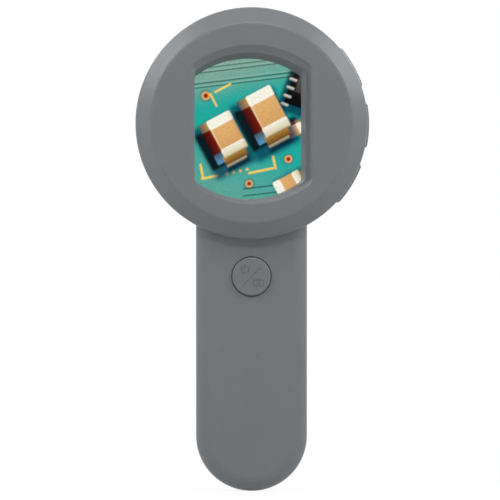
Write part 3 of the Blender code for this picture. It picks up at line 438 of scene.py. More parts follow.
greyLook = {"specular": 0.5, "grain": 0.34, "tone": 0.18, "roughness": 0.36, "spread": 0.10, "wear": 0.10,
            "dust": 0.04, "bump": 0.045}
controlLook = {"specular": 0.5, "grain": 0.22, "tone": 0.07, "roughness": 0.36, "spread": 0.08, "wear": 0.16,
               "dust": 0.06, "bump": 0.03}
blackLook = {"specular": 0.4, "grain": 0.35, "tone": 0.2, "roughness": 0.5, "spread": 0.1, "wear": 0.06,
             "dust": 0.04, "bump": 0.05}
rubberLook = {"specular": 0.3, "grain": 0.25, "tone": 0.15, "roughness": 0.62, "spread": 0.08, "wear": 0.10,
              "dust": 0.10, "bump": 0.05}
milkyLook = {"specular": 0.5, "grain": 0.40, "tone": 0.04, "roughness": 0.35, "spread": 0.06, "wear": 0.02,
             "dust": 0.03, "bump": 0.01}
copperTone = linear(214, 178, 110)

housingGrey = mouldedPlastic("housingGrey", linear(111, 115, 118), greyLook)
controlGrey = mouldedPlastic("controlGrey", linear(110, 113, 116), controlLook)
blackPlastic = mouldedPlastic("blackPlastic", linear(44, 44, 47), blackLook)
ringRubber = mouldedPlastic("ringRubber", linear(36, 36, 38), rubberLook)
chipBlack = mouldedPlastic("chipBlack", linear(38, 39, 41), blackLook)
paintWhite = mouldedPlastic("paintWhite", linear(212, 214, 214), controlLook)
milkyDiffuser = mouldedPlastic("milkyDiffuser", linear(236, 237, 232), milkyLook)
whiteResin = mouldedPlastic("whiteResin", linear(226, 227, 222), controlLook)
phosphor = mouldedPlastic("phosphor", linear(240, 210, 92), controlLook)
steel = brushedMetal("steel", linear(196, 197, 200), 0.32)
darkSteel = brushedMetal("darkSteel", linear(120, 121, 124), 0.38)
socketSteel = brushedMetal("socketSteel", linear(188, 189, 192), 0.3, (1, 1, 8))
cellFoil = brushedMetal("cellFoil", linear(150, 156, 166), 0.42)
windowClear = clearPlastic("windowClear", linear(252, 253, 253), 0.0, 1.06, 0.15)
hoodClear = clearPlastic("hoodClear", linear(240, 245, 246), 0.02, 1.46)
lensGlass = clearPlastic("lensGlass", linear(246, 250, 249), 0.0, 1.52, Coat_Weight=0.6,
                         Coat_Tint=linear(120, 190, 150))
boardGreen = circuitBoard("boardGreen", linear(22, 92, 62), copperTone, 420.0)
lampBoard = circuitBoard("lampBoard", linear(228, 230, 228), copperTone, 300.0)
amberFilm = circuitBoard("amberFilm", linear(176, 104, 28), linear(214, 150, 90), 500.0)
print("finishes:", len(bpy.data.materials))


# Head and grip

head = {"radius": 39.602, "depth": 22.5, "bevelWidth": 5.4, "bevelDepth": 4.2, "creaseRound": 2.0, "rimRound": 1.4,
        "backRound": 3.0, "wall": 2.0, "seam": 12.5, "seamGap": 0.3, "steps": 200, "softSteps": 10,
        "hollowSteps": 96, "hollowSoftSteps": 4, "beyond": 45.0}
collar = {"radius": 25.5, "back": 25.4, "rim": 1.0, "floor": 19.0, "bore": 17.3, "mouth": 0.4, "cutBack": 27.0,
          "steps": 128, "screwReach": 20.4, "screwTurns": (30, 150, 270), "screwRadius": 1.1, "screwBack": 23.6}
grip = {"half": 19.0, "front": 6.8, "back": 25.0, "frontRound": 5.5, "frontDrop": 3.6, "backRound": 7.5,
        "backDrop": 6.0, "fillet": 1.0, "filletSteps": 6, "bite": 0.3, "endSteps": 72, "rows": 10, "hollowRows": 4}
recess = {"middle": 0.0, "halfWidth": 21.1, "top": 26.7, "bottom": -27.8, "arch": 33.6, "corner": 3.6, "depth": 4.5,
          "skirtFront": 1.0, "skirtWall": 1.4, "archSteps": 44, "cornerSteps": 10, "rows": 10}
lip = {"middle": -0.35, "halfWidth": 19.05, "top": 24.3, "bottom": -26.1, "arch": 31.6, "corner": 2.4, "drop": 1.3,
       "least": 0.03, "flat": 0.25, "slope": 0.55, "ridge": 0.65, "fall": 0.1, "ridgeSide": 0.3, "wall": 2.0}
window = {"middle": -1.25, "halfWidth": 18.15, "top": 22.0, "bottom": -25.9, "arch": 29.6, "corner": 1.4,
          "margin": 1.0, "front": 4.8, "back": 5.6}
seam = {"tongue": {"outside": 0.9, "inside": 1.75, "front": 11.8, "back": 13.6},
        "groove": {"outside": 0.75, "inside": 2.4, "front": 12.0, "back": 13.85}, "over": 1.0}
socket = {"usb": {"width": 9.6, "height": 3.8, "depth": 13.6, "corner": 1.2, "flare": 0.35},
          "card": {"width": 11.4, "height": 1.2, "depth": 17.95, "corner": 0.0, "flare": 0.35}}
post = {"radius": 2.2, "headRadius": 3.2, "screwRadius": 0.9, "screwHead": 2.0, "screwHeadHeight": 1.4, "sink": 1.7,
        "gap": 0.3, "bite": 4.5, "boardRadius": 1.8, "mouth": 0.3, "steps": 24, "wideSteps": 28, "boreSteps": 40,
        "holeSteps": 16}
# Posts come in pairs: a boss in the front half from bossFront to bossBack, and a post in the rear half
headPosts = {"places": [onAxis(32.602, math.radians(turn)) for turn in (41, 139, 221, -41)],
             "bossFront": 1.0, "bossBack": 9.0, "front": 12.8, "bore": 12.0, "root": 21.5, "back": head["depth"],
             "screwLength": 16.3}
gripPosts = {"places": [(-9.8, 32.0), (9.8, 32.0)],
             "bossFront": 7.8, "bossBack": 14.0, "front": 14.3, "bore": 14.3, "root": 24.0, "back": grip["back"],
             "screwLength": 13.8}
boardPosts = {"places": [(-9.5, 22.5), (9.5, 22.5)], "bossFront": 7.8, "bossBack": 15.2, "front": 17.0, "root": 24.0}
switchPin = {"away": 10.2, "front": 7.8, "radius": 1.7, "shoulder": 12.75, "tip": 0.9, "back": 14.25}
sideKey = {"turns": [math.radians(29.7), math.radians(-0.9), math.radians(-31.6)], "length": 15.2, "height": 5.0,
           "proud": 0.755, "gap": 0.3, "slotCorner": 1.0, "root": 36.85, "edge": 0.75, "crown": 0.12, "rows": 14,
           "columns": 40, "flange": 1.0, "flangeNear": 36.402, "flangeFar": 37.302, "nub": 1.3, "nubDepth": 12.3,
           "nubNear": 35.202, "nubFar": 36.8, "signHalf": 1.2, "signThin": 0.26, "signSink": 0.25, "signOver": 1.0,
           "dot": 1.9, "dotRound": 0.94, "minusRound": 0.24, "slotSteps": 5, "steps": 24}
button = {"radius": 6.6, "front": 5.9, "edge": 0.6, "flange": 1.0, "flangeFront": 9.1, "flangeBack": 9.9,
          "stem": 10.4, "stemRadius": 1.6, "gap": 0.22, "mouth": 0.1, "mouthRound": 0.05,
          "holeBack": 10.3, "steps": 96}


def archedOutline(form, inset=0.0):
    # Straight sides, arched ends and small corner arcs, as (right, up) from the lens axis
    half, arch, corner = form["halfWidth"] - inset, form["arch"] - inset, form["corner"] - inset
    rise = math.sqrt((arch - corner) ** 2 - (half - corner) ** 2)
    turn = math.atan2(rise, half - corner)
    high, low = form["top"] - inset - arch, form["bottom"] + inset + arch
    left, right = form["middle"] - half + corner, form["middle"] + half - corner
    ends, corners = recess["archSteps"], recess["cornerSteps"]
    points = arc((right, high + rise), corner, 0, turn, corners)
    points += arc((form["middle"], high), arch, turn, math.pi - turn, ends)[1:-1]
    points += arc((left, high + rise), corner, math.pi - turn, math.pi, corners)
    points += arc((left, low - rise), corner, math.pi, math.pi + turn, corners)
    points += arc((form["middle"], low), arch, math.pi + turn, fullTurn - turn, ends)[1:-1]
    points += arc((right, low - rise), corner, fullTurn - turn, fullTurn, corners)
    return points


def between(first, last, share, depth):
    return place((first[0] + (last[0] - first[0]) * share, depth, first[1] + (last[1] - first[1]) * share), headCentre)


def recessRings():
    # From the face down a chamfered lip and on down the wall to the window. Towards the right side the lip turns
    # into a shallow valley with a slight ridge along the wall
    outer, inner, pane = archedOutline(recess), archedOutline(lip), archedOutline(window)
    widths = [min(1.0, max(0.0, math.dist(b, c) - lip["flat"]) / lip["wall"]) for b, c in zip(inner, pane)]
    drops = [lip["drop"] * (lip["least"] + (1 - lip["least"]) * width) for width in widths]
    sides = [max(0.0, x / recess["halfWidth"]) ** 4 for x, z in outer]
    rings = [[place((x, -overrun, z), headCentre) for x, z in outer]]
    for share in spread(0, 1, recess["rows"]):
        valley = min(1.0, share / lip["slope"])
        valley = valley * valley * (3 - 2 * valley)
        rings.append([between(a, b, share, drop * (share + (valley - share) * side))
                      for a, b, drop, side in zip(outer, inner, drops, sides)])
    rings.append([between(b, c, min(1.0, lip["ridgeSide"] / max(math.dist(b, c), 0.01)),
                          drop - (lip["ridge"] * side - lip["fall"] * (1 - side)) * width)
                  for b, c, width, drop, side in zip(inner, pane, widths, drops, sides)])
    return rings + [[place((x, depth, z), headCentre) for x, z in pane]
                    for depth in (recess["depth"], window["front"])]


def gripOutline(inset, top):
    # Round end, straight sides and a small fillet at the neck, then up inside the head
    end = arc((0, grip["half"]), grip["half"] - inset, math.pi, fullTurn, grip["endSteps"])
    side = grip["half"] + grip["fillet"]
    reach = head["radius"] - grip["bite"] + grip["fillet"]
    rise = math.sqrt(reach ** 2 - side ** 2)
    fillet = arc((side, headCentre[1] - rise), grip["fillet"] + inset, math.pi, math.pi - math.atan2(rise, side),
                 grip["filletSteps"])
    right = fillet + [(grip["half"] - inset, top)]
    return end + right + [(-x, z) for x, z in reversed(right)]


def gripInto(shape, inset, front, back, top, rows):
    turns = spread(0, quarterTurn, rows)
    sections = [(inset + (grip["frontRound"] - inset) * (1 - math.sin(turn)),
                 front + (grip["frontDrop"] - inset / 2) * (1 - math.cos(turn))) for turn in turns]
    sections += [(inset + (grip["backRound"] - inset) * (1 - math.cos(turn)),
                  back - (grip["backDrop"] - inset) * (1 - math.sin(turn))) for turn in turns]
    loftInto(shape, [[place((x, depth, z)) for x, z in gripOutline(width, top)] for width, depth in sections])


def headHollowInto(shape):
    slope = head["bevelDepth"] / head["bevelWidth"]
    slant = head["wall"] * math.hypot(1, slope)
    crease, bore = head["radius"] - head["bevelWidth"], head["radius"] - head["wall"]
    floor = head["depth"] - head["wall"]
    latheInto(shape, [(0, head["wall"]), (crease + (head["wall"] - slant) / slope, head["wall"]),
                      (bore, slope * (bore - crease) + slant), (bore, floor, head["backRound"] - head["wall"]),
                      (0, floor)], head["hollowSteps"], headCentre, head["hollowSoftSteps"])


def halfShell(name, front, back):
    # One half of the housing as a hollow shell: the whole body without what lies between two depths
    piece = lathe(name, [(0, 0), (head["radius"] - head["bevelWidth"], 0, head["creaseRound"]),
                         (head["radius"], head["bevelDepth"], head["rimRound"]),
                         (head["radius"], head["depth"], head["backRound"]), (collar["radius"], head["depth"]),
                         (collar["radius"], collar["back"], collar["rim"]), (0, collar["back"])],
                  housingGrey, head["steps"], softSteps=head["softSteps"])
    combine(piece, "UNION", (gripInto, 0.0, grip["front"], grip["back"], headCentre[1] - collar["radius"] / 2,
                             grip["rows"]))
    margin = head["radius"] + overrun
    top = headCentre[1] + margin
    combine(piece, "DIFFERENCE", (slabInto, [(-margin, -overrun), (margin, -overrun), (margin, top), (-margin, top)],
                                  front, back))
    combine(piece, "DIFFERENCE", (headHollowInto,))
    return combine(piece, "DIFFERENCE", (gripInto, head["wall"], grip["front"] + head["wall"],
                                         grip["back"] - head["wall"], headCentre[1] - collar["radius"] - post["gap"],
                                         grip["hollowRows"]))


def seamRingInto(shape, name):
    # A ring inside both walls that follows the seam round head and grip: the front half's tongue, or the groove
    # that it fits in the rear half
    ring = seam[name]

    def layer(inset, over):
        front, back = ring["front"] - over, ring["back"] + over
        return ((latheInto, rod(head["radius"] - inset, front, back), head["steps"], headCentre),
                (slabInto, gripOutline(inset, headCentre[1] - collar["radius"]), front, back))

    disc, stem = layer(ring["outside"], 0.0)
    piece = combine(newPiece("seamRing", shapeOf(disc)), "UNION", stem)
    for hollow in layer(ring["inside"], seam["over"]):
        combine(piece, "DIFFERENCE", hollow)
    shape.from_mesh(piece.data)
    discard(piece)


def keySlotsInto(shape):
    outline = oblong(sideKey["length"] + 2 * sideKey["gap"], sideKey["height"] + 2 * sideKey["gap"],
                     sideKey["slotCorner"], (0, head["seam"]), sideKey["slotSteps"])
    for turn in sideKey["turns"]:
        radialInto(shape, outline, head["radius"] - head["wall"] - overrun, head["radius"] + overrun, turn)


def endSlotInto(shape, name):
    # A slot through the end wall of the grip with a small countersink at its mouth
    slot = socket[name]
    width, corner, flare = slot["width"], slot["corner"], slot["flare"]
    top = grip["half"] - math.sqrt((grip["half"] - head["wall"]) ** 2 - (width / 2) ** 2) + overrun
    sag = grip["half"] - math.sqrt(grip["half"] ** 2 - (width / 2) ** 2)
    rings = []
    for wide, z in ((flare, -overrun), (flare, 0.0), (0.0, sag + flare), (0.0, top)):
        ring = oblong(width + 2 * wide, slot["height"] + 2 * wide, corner + wide if corner else 0.0,
                      (0, slot["depth"]))
        rings.append([place((x, y, z)) for x, y in ring])
    loftInto(shape, rings)


def screwSeat(back):
    return back - post["sink"] - post["screwHeadHeight"] - post["gap"]


def boreInto(shape, centre, front, back):
    # A screw's counterbore with a softened mouth
    seat, mouth = screwSeat(back), post["mouth"]
    narrow, wide = post["screwRadius"] + post["gap"], post["screwHead"] + post["gap"]
    latheInto(shape, [(0, front - overrun), (narrow, front - overrun), (narrow, seat), (wide, seat),
                      (wide, back - mouth), (wide + mouth, back), (wide + mouth, back + overrun),
                      (0, back + overrun)], post["boreSteps"], centre)


def rearPostInto(shape, centre, front, root, back):
    slim, wide, step = post["radius"], post["headRadius"], screwSeat(back) - head["wall"]
    latheInto(shape, [(0, front), (slim, front), (slim, step), (wide, step + wide - slim), (wide, root), (0, root)],
              post["wideSteps"], centre)


def makeFrontHousing():
    shell = halfShell("frontHousing", head["seam"] - head["seamGap"] / 2, head["beyond"])
    pin = switchPin
    pinProfile = [(0, pin["front"]), (pin["radius"], pin["front"]), (pin["radius"], pin["shoulder"]),
                  (pin["tip"], pin["shoulder"]), (pin["tip"], pin["back"]), (0, pin["back"])]
    added = [(slabInto, archedOutline(recess, -recess["skirtWall"]), recess["skirtFront"], window["back"], headCentre)]
    for posts, radius in ((headPosts, post["radius"]), (gripPosts, post["radius"]), (boardPosts, post["boardRadius"])):
        added += rods(posts["places"], radius, posts["bossFront"], posts["bossBack"], post["steps"])
    added += [(latheInto, pinProfile, post["steps"], (0, buttonCentre[1] + up)) for up in (-pin["away"], pin["away"])]
    combine(shell, "UNION", *added)
    combine(shell, "UNION", (seamRingInto, "tongue"))
    removed = []
    for posts in (headPosts, gripPosts):
        removed += rods(posts["places"], post["screwRadius"] + post["gap"],
                        posts["bossBack"] - post["bite"] - post["gap"], posts["bossBack"] + overrun, post["holeSteps"])
    mouth, hole, face = button["mouth"], button["radius"] + button["gap"], grip["front"]
    buttonHole = [(0, face - overrun), (hole + mouth, face - overrun), (hole + mouth, face),
                  (hole, face + mouth, button["mouthRound"]), (hole, button["holeBack"]), (0, button["holeBack"])]
    combine(shell, "DIFFERENCE", *removed, (keySlotsInto,), (endSlotInto, "usb"),
            (latheInto, buttonHole, button["steps"], buttonCentre))
    combine(shell, "DIFFERENCE", (loftInto, recessRings()))
    combine(shell, "DIFFERENCE", (slabInto, archedOutline(window, -window["margin"] - post["gap"]), recess["depth"],
                                  window["back"] + overrun, headCentre))
    mounted(smoothed(shell), "housing", "housing_grey", "front_housing")


def makeRearHousing():
    shell = halfShell("rearHousing", -overrun, head["seam"] + head["seamGap"] / 2)
    combine(shell, "DIFFERENCE", (seamRingInto, "groove"))
    added, removed = [], []
    for posts in (headPosts, gripPosts):
        for spot in posts["places"]:
            added.append((rearPostInto, spot, posts["front"], posts["root"], posts["back"]))
            removed.append((boreInto, spot, posts["bore"], posts["back"]))
    combine(shell, "UNION", *added,
            *rods(boardPosts["places"], post["boardRadius"], boardPosts["front"], boardPosts["root"], post["steps"]))
    bore, wide, back = collar["bore"], collar["bore"] + collar["mouth"], collar["back"]
    lensBore = [(0, collar["floor"]), (bore, collar["floor"]), (bore, back - collar["mouth"]), (wide, back),
                (wide, collar["cutBack"]), (0, collar["cutBack"])]
    screwPlaces = [onAxis(collar["screwReach"], math.radians(turn)) for turn in collar["screwTurns"]]
    combine(shell, "DIFFERENCE", *removed, (latheInto, lensBore, collar["steps"], headCentre),
            *rods(screwPlaces, collar["screwRadius"], collar["floor"], collar["screwBack"], post["holeSteps"]),
            (keySlotsInto,), (endSlotInto, "usb"), (endSlotInto, "card"))
    mounted(smoothed(shell), "housing", "housing_grey", "rear_housing")


makeFrontHousing()
makeRearHousing()
print("housings made")


# Power and capture button: a power sign and a camera, with a slanted line between them

symbol = {"sink": 0.17, "overrun": 0.5, "power": (-2.3, 2.4), "powerRadius": 1.3, "powerGap": math.radians(38),
          "stroke": ((-2.3, 2.55), (-2.3, 3.95)), "powerLine": 0.34, "slant": ((-2.8, -2.95), (3.0, 3.0)),
          "line": 0.3, "camera": (2.35, -2.25), "cameraWidth": 3.7, "cameraHeight": 2.3, "cameraCorner": 0.4,
          "filling": 0.4, "lensRadius": 0.5, "lensLine": 0.22, "knob": (1.0, 0.26, 0.1), "knobUp": 0.18,
          "ringSteps": 28, "endSteps": 6, "closed": 0.999}


def strokeOutline(start, end, width):
    # A straight stroke with round ends
    along, steps = math.atan2(end[1] - start[1], end[0] - start[0]), symbol["endSteps"]
    return (arc(end, width / 2, along - quarterTurn, along + quarterTurn, steps)
            + arc(start, width / 2, along + quarterTurn, along + 3 * quarterTurn, steps))


def ringStroke(centre, radius, width, start, end):
    return (arc(centre, radius + width / 2, start, end, symbol["ringSteps"])
            + arc(centre, radius - width / 2, end, start, symbol["ringSteps"]))


def makeButton():
    front, radius, stem = button["front"], button["radius"], button["stemRadius"]
    wide = radius + button["flange"]
    piece = lathe("powerButton", [(0, front), (radius, front, button["edge"]), (radius, button["flangeFront"]),
                                  (wide, button["flangeFront"]), (wide, button["flangeBack"]),
                                  (stem, button["flangeBack"]), (stem, button["stem"]), (0, button["stem"])],
                  controlGrey, button["steps"], buttonCentre)
    high, low = front - symbol["overrun"], front + symbol["sink"]
    gap, line, (right, up) = symbol["powerGap"], symbol["line"], symbol["camera"]
    width, height, corner = symbol["cameraWidth"], symbol["cameraHeight"], symbol["cameraCorner"]
    signs = [ringStroke(symbol["power"], symbol["powerRadius"], symbol["powerLine"], quarterTurn + gap,
                        quarterTurn + fullTurn - gap),
             strokeOutline(*symbol["stroke"], symbol["powerLine"]), strokeOutline(*symbol["slant"], line)]
    knob = oblong(*symbol["knob"], (right, up + height / 2 + symbol["knobUp"]))
    inner = oblong(width - 2 * line, height - 2 * line, corner / 2, (right, up))
    lens = ringStroke((right, up), symbol["lensRadius"], symbol["lensLine"], 0, fullTurn * symbol["closed"])
    combine(piece, "DIFFERENCE", *[(slabInto, sign, high, low, buttonCentre) for sign in signs])
    combine(piece, "DIFFERENCE", (slabInto, oblong(width, height, corner, (right, up)), high, low, buttonCentre),
            (slabInto, knob, high, front + symbol["sink"] / 2, buttonCentre))
    combine(piece, "UNION", (slabInto, inner, front, front + symbol["filling"], buttonCentre))
    combine(piece, "DIFFERENCE", (slabInto, lens, high, low, buttonCentre))
    mounted(smoothed(piece), "power_button", "control_grey", "power_button")


makeButton()


# Side keys

def makeSideKey(number, turn):
    # A cap that follows the head's curve, crowned along and across, on its flange and nub
    half, deep, middle = sideKey["length"] / 2, sideKey["height"] / 2, head["seam"]
    outer, edge, flange = head["radius"] + sideKey["proud"], sideKey["edge"], sideKey["flange"]

    def cap(across, down):
        # Height of the cap's skin, eased down at the edges
        fall = 0.0
        for share, limit in ((abs(across), half), (abs(down), deep)):
            near = max(0.0, share - (limit - edge)) / edge
            fall = max(fall, 1 - math.sqrt(max(0.0, 1 - min(near, 1.0) ** 2)))
        return math.sqrt(outer ** 2 - across ** 2) - sideKey["crown"] * (down / deep) ** 2 - fall * edge

    def grid(height):
        return [[shape.verts.new(place((height(across, down), middle + down, across), headCentre, turn))
                 for across in acrossSteps] for down in downSteps]

    acrossSteps = [half * math.sin(quarterTurn * part) for part in spread(-1, 1, sideKey["columns"])]
    downSteps = [deep * math.sin(quarterTurn * part) for part in spread(-1, 1, sideKey["rows"])]
    shape = bmesh.new()
    top, base = grid(cap), grid(lambda across, down: sideKey["root"])
    gridInto(shape, top)
    gridInto(shape, base)
    for end in (0, -1):
        gridInto(shape, [top[end], base[end]])
        gridInto(shape, [[row[end] for row in top], [row[end] for row in base]])
    piece = newPiece(f"sideKey{number}", shape, controlGrey)
    lean, steps = math.asin((half + flange) / sideKey["flangeFar"]), sideKey["steps"]
    plate = (arc((0, 0), sideKey["flangeFar"], -lean, lean, steps)
             + arc((0, 0), sideKey["flangeNear"], lean, -lean, steps))
    combine(piece, "UNION", (slabInto, plate, middle - deep - flange, middle + deep + flange, headCentre, turn))
    nub = arc((0, sideKey["nubDepth"]), sideKey["nub"], 0, fullTurn, steps)[:-1]
    combine(piece, "UNION", (radialInto, nub, sideKey["nubNear"], sideKey["nubFar"], turn))
    # Plain engraved signs: plus, a dot and minus
    thin, long = sideKey["signThin"], sideKey["signHalf"]
    cross = [(thin, thin), (thin, long), (-thin, long), (-thin, thin), (-long, thin), (-long, -thin), (-thin, -thin),
             (-thin, -long), (thin, -long), (thin, -thin), (long, -thin), (long, thin)]
    dot = oblong(sideKey["dot"], sideKey["dot"], sideKey["dotRound"])
    sign = [cross, dot, oblong(2 * long, 2 * thin, sideKey["minusRound"])][number - 1]
    combine(piece, "DIFFERENCE", (radialInto, [(across, middle + down) for across, down in sign],
                                  outer - sideKey["signSink"], outer + sideKey["signOver"], turn))
    mounted(smoothed(piece), f"side_key_{number}", "control_grey", f"side_key_{number}")


for keyNumber, keyTurn in enumerate(sideKey["turns"], 1):
    makeSideKey(keyNumber, keyTurn)
print("controls made")


# Geometry Nodes: ribs round the focus ring, screws, lamps and focus marks

def newTree(name, inputs):
    return newGroup(name, "GeometryNodeTree", {"Geometry": "Geometry", **inputs, "Material": "Material"},
                    {"Geometry": "Geometry"})


def closeTree(tree, values, outside, made):
    # Every tree ends in real mesh with its finish
    real = add(tree, "GeometryNodeRealizeInstances", Geometry=made.outputs[0])
    dressed = add(tree, "GeometryNodeSetMaterial", Geometry=real.outputs[0], Material=values["Material"])
    feed(tree, outside, Geometry=dressed.outputs[0])
    return tree


def setParts(tree, values, outside, points, turn):
    # Sets the part on every point, turned about the depth axis
    part = add(tree, "GeometryNodeObjectInfo", Object=values["Part"])
    spin = add(tree, "ShaderNodeCombineXYZ", Y=turn)
    made = add(tree, "GeometryNodeInstanceOnPoints", Points=points, Instance=part.outputs["Geometry"],
               Rotation=spin.outputs[0])
    return closeTree(tree, values, outside, made)


ribWave = {"low": -0.15, "high": 0.75, "skin": 1.5}


def nodesRibs():
    # Pushes the skin of a ring inwards in an even wave, fading out at both rims
    tree, values, outside = newTree("ringRibs", {
        "Rib Count": 26, "Rib Depth": 0.0006, "Skin Radius": 0.0225, "Front": 0.0, "Back": 0.0, "Fade": 0.0008,
        "Axis Height": 0.1257})
    where = add(tree, "ShaderNodeSeparateXYZ", in0=add(tree, "GeometryNodeInputPosition").outputs[0]).outputs
    right, depth, up = where[0], where[1], minus(tree, where[2], values["Axis Height"])
    reach = maths(tree, "SQRT", plus(tree, maths(tree, "POWER", up, 2.0), maths(tree, "POWER", right, 2.0)))
    wave = maths(tree, "SINE", times(tree, maths(tree, "ARCTAN2", up, right), values["Rib Count"]))
    grooves = ranged(tree, wave, ribWave["low"], ribWave["high"])
    skin = ranged(tree, reach, minus(tree, values["Skin Radius"], ribWave["skin"] * mm), values["Skin Radius"])
    nearFront = ranged(tree, minus(tree, depth, values["Front"]), 0.0, values["Fade"])
    nearBack = ranged(tree, minus(tree, values["Back"], depth), 0.0, values["Fade"])
    deep = times(tree, times(tree, grooves, skin), times(tree, nearFront, nearBack))
    share = maths(tree, "DIVIDE", times(tree, deep, values["Rib Depth"]), reach)
    back = times(tree, share, -1.0)
    inward = add(tree, "ShaderNodeCombineXYZ", X=times(tree, right, back), Z=times(tree, up, back))
    moved = add(tree, "GeometryNodeSetPosition", Geometry=values["Geometry"], Offset=inward.outputs[0])
    return closeTree(tree, values, outside, moved)


def nodesScatter():
    # Sets one part on every point, each with its own turn
    tree, values, outside = newTree("partsOnPoints", {
        "Part": "Object", "Least Turn": 0.0, "Most Turn": 6.283, "Seed": 7})
    chance = add(tree, "FunctionNodeRandomValue", {"data_type": "FLOAT"}, in2=values["Least Turn"],
                 in3=values["Most Turn"], Seed=values["Seed"])
    return setParts(tree, values, outside, values["Geometry"], chance.outputs[1])


def nodesAround():
    # Sets a part at even turns round the lens axis, from a first turn on
    tree, values, outside = newTree("partsAround", {
        "Part": "Object", "Count": 8, "First Turn": 0.0, "Turn Between": 0.785, "Centre": (0, 0, 0.1257)})
    points = add(tree, "GeometryNodePoints", Count=values["Count"], Position=values["Centre"])
    number = add(tree, "GeometryNodeInputIndex").outputs[0]
    turn = plus(tree, times(tree, number, values["Turn Between"]), values["First Turn"])
    return setParts(tree, values, outside, points.outputs[0], times(tree, turn, -1.0))


ribsTree, scatterTree, aroundTree = nodesRibs(), nodesScatter(), nodesAround()


def grown(piece, tree, **values):
    # Runs a tree on a piece with its named inputs, and keeps the plain mesh
    step = piece.modifiers.new(tree.name, "NODES")
    step.node_group = tree
    sockets = {item.name: item.identifier for item in tree.interface.items_tree if item.in_out == "INPUT"}
    for label, value in values.items():
        step[sockets[label.replace("_", " ")]] = value
    return applied(piece)


def pointCloud(name, points):
    mesh = bpy.data.meshes.new(name)
    mesh.from_pydata(points, [], [])
    piece = bpy.data.objects.new(name, mesh)
    bpy.context.collection.objects.link(piece)
    return piece


def ringOf(name, part, finish, count, first, turnBetween=0.0):
    piece = grown(pointCloud(name, [(0, 0, 0)]), aroundTree, Part=part, Count=count, First_Turn=first,
                  Turn_Between=turnBetween, Centre=(0, frontPlane, axisHeight), Material=finish)
    discard(part)
    return piece


# Shares are of the shank's radius, of the head's height and of the head's radius
screw = {"pitch": 0.7, "point": 0.8, "neck": 0.3, "tipShare": 0.5, "rootShare": 0.8, "neckShare": 0.85,
         "roundShare": 0.32, "steps": 40, "softSteps": 6, "footShare": 0.3, "footHalf": 0.16, "footDepth": 0.8,
         "topShare": 0.62, "topHalf": 0.25, "topRise": 0.3}


def screwPart(name, length):
    # A pan head with a cross recess and a ringed shank, with the head's top at the origin facing +Y
    radius, wide, height, pitch = post["screwRadius"], post["screwHead"], post["screwHeadHeight"], screw["pitch"]
    depth = -length + screw["point"]
    corners = [(0, -length), (radius * screw["tipShare"], -length), (radius, depth)]
    while depth + pitch < -height - screw["neck"]:
        corners += [(radius * screw["rootShare"], depth + pitch / 2), (radius, depth + pitch)]
        depth += pitch
    corners += [(radius * screw["neckShare"], -height), (wide, -height), (wide, 0, height * screw["roundShare"]),
                (0, 0)]
    piece = lathe(name, [(reach, depth - planeDepth, *soft) for reach, depth, *soft in corners], None,
                  screw["steps"], (0, 0), screw["softSteps"])
    for turn in (0.0, quarterTurn):
        rings = []
        for reach, half, depth in ((wide * screw["footShare"], screw["footHalf"], -screw["footDepth"]),
                                   (wide * screw["topShare"], screw["topHalf"], screw["topRise"])):
            rings.append([place((x, depth - planeDepth, z), (0, 0), turn) for x, z in oblong(2 * reach, 2 * half)])
        combine(piece, "DIFFERENCE", (loftInto, rings))
    return smoothed(piece)


def makeScrews():
    for name, posts, first, seed in (("housingScrewsHead", headPosts, 1, 3), ("housingScrewsGrip", gripPosts, 5, 5)):
        part = screwPart("screw", posts["screwLength"])
        points = [place((x, posts["back"] - post["sink"], z)) for x, z in posts["places"]]
        piece = grown(pointCloud(name, points), scatterTree, Part=part, Least_Turn=0.0, Most_Turn=quarterTurn,
                      Seed=seed, Material=darkSteel)
        mounted(piece, "housing", "steel", *[f"housing_screw_{first + index}" for index in range(len(points))])
        discard(part)


makeScrews()


# Focus ring, with painted ticks on the collar's back face and its own pointer

focusRing = {"bore": 17.3, "radius": 22.5, "front": 25.7, "back": 31.9, "chamfer": 0.7, "edge": 0.25, "ribs": 26,
             "ribDepth": 0.6, "fade": 0.7, "turnSteps": 18, "depthSteps": 12, "softSteps": 3}
marks = {"first": math.radians(45), "sunk": 0.1, "proud": 0.04,
         "ticks": {"reach": 24.1, "width": 0.28, "length": 1.1, "count": 19, "between": math.radians(5)},
         "longTicks": {"reach": 23.75, "width": 0.4, "length": 1.9, "count": 3, "between": math.radians(45)},
         "pointer": {"reach": 20.6, "width": 0.7, "length": 2.0}}


def makeFocusRing():
    ring = focusRing
    bore, radius, edge = ring["bore"], ring["radius"], ring["edge"]
    front, back = ring["front"] + ring["chamfer"], ring["back"] - ring["chamfer"]
    depths = spread(front, back, ring["depthSteps"])
    profile = [(bore, ring["front"]), (radius - ring["chamfer"], ring["front"], edge)]
    profile += [(radius, depth, edge if depth in (depths[0], depths[-1]) else 0) for depth in depths]
    profile += [(radius - ring["chamfer"], ring["back"], edge), (bore, ring["back"])]
    piece = lathe("focusRing", profile, ringRubber, ring["ribs"] * ring["turnSteps"], softSteps=ring["softSteps"])
    piece = grown(piece, ribsTree, Rib_Count=ring["ribs"], Rib_Depth=ring["ribDepth"] * mm, Skin_Radius=radius * mm,
                  Front=frontPlane + front * mm, Back=frontPlane + back * mm, Fade=ring["fade"] * mm,
                  Axis_Height=axisHeight, Material=ringRubber)
    mounted(smoothed(piece), "focus_ring", "ring_black", "focus_ring")


def markBar(mark, face):
    outline = oblong(mark["length"], mark["width"], 0.0, (mark["reach"], 0))
    return newPiece("markBar", shapeOf((slabInto, outline, face - marks["sunk"] - planeDepth,
                                        face + marks["proud"] - planeDepth)))


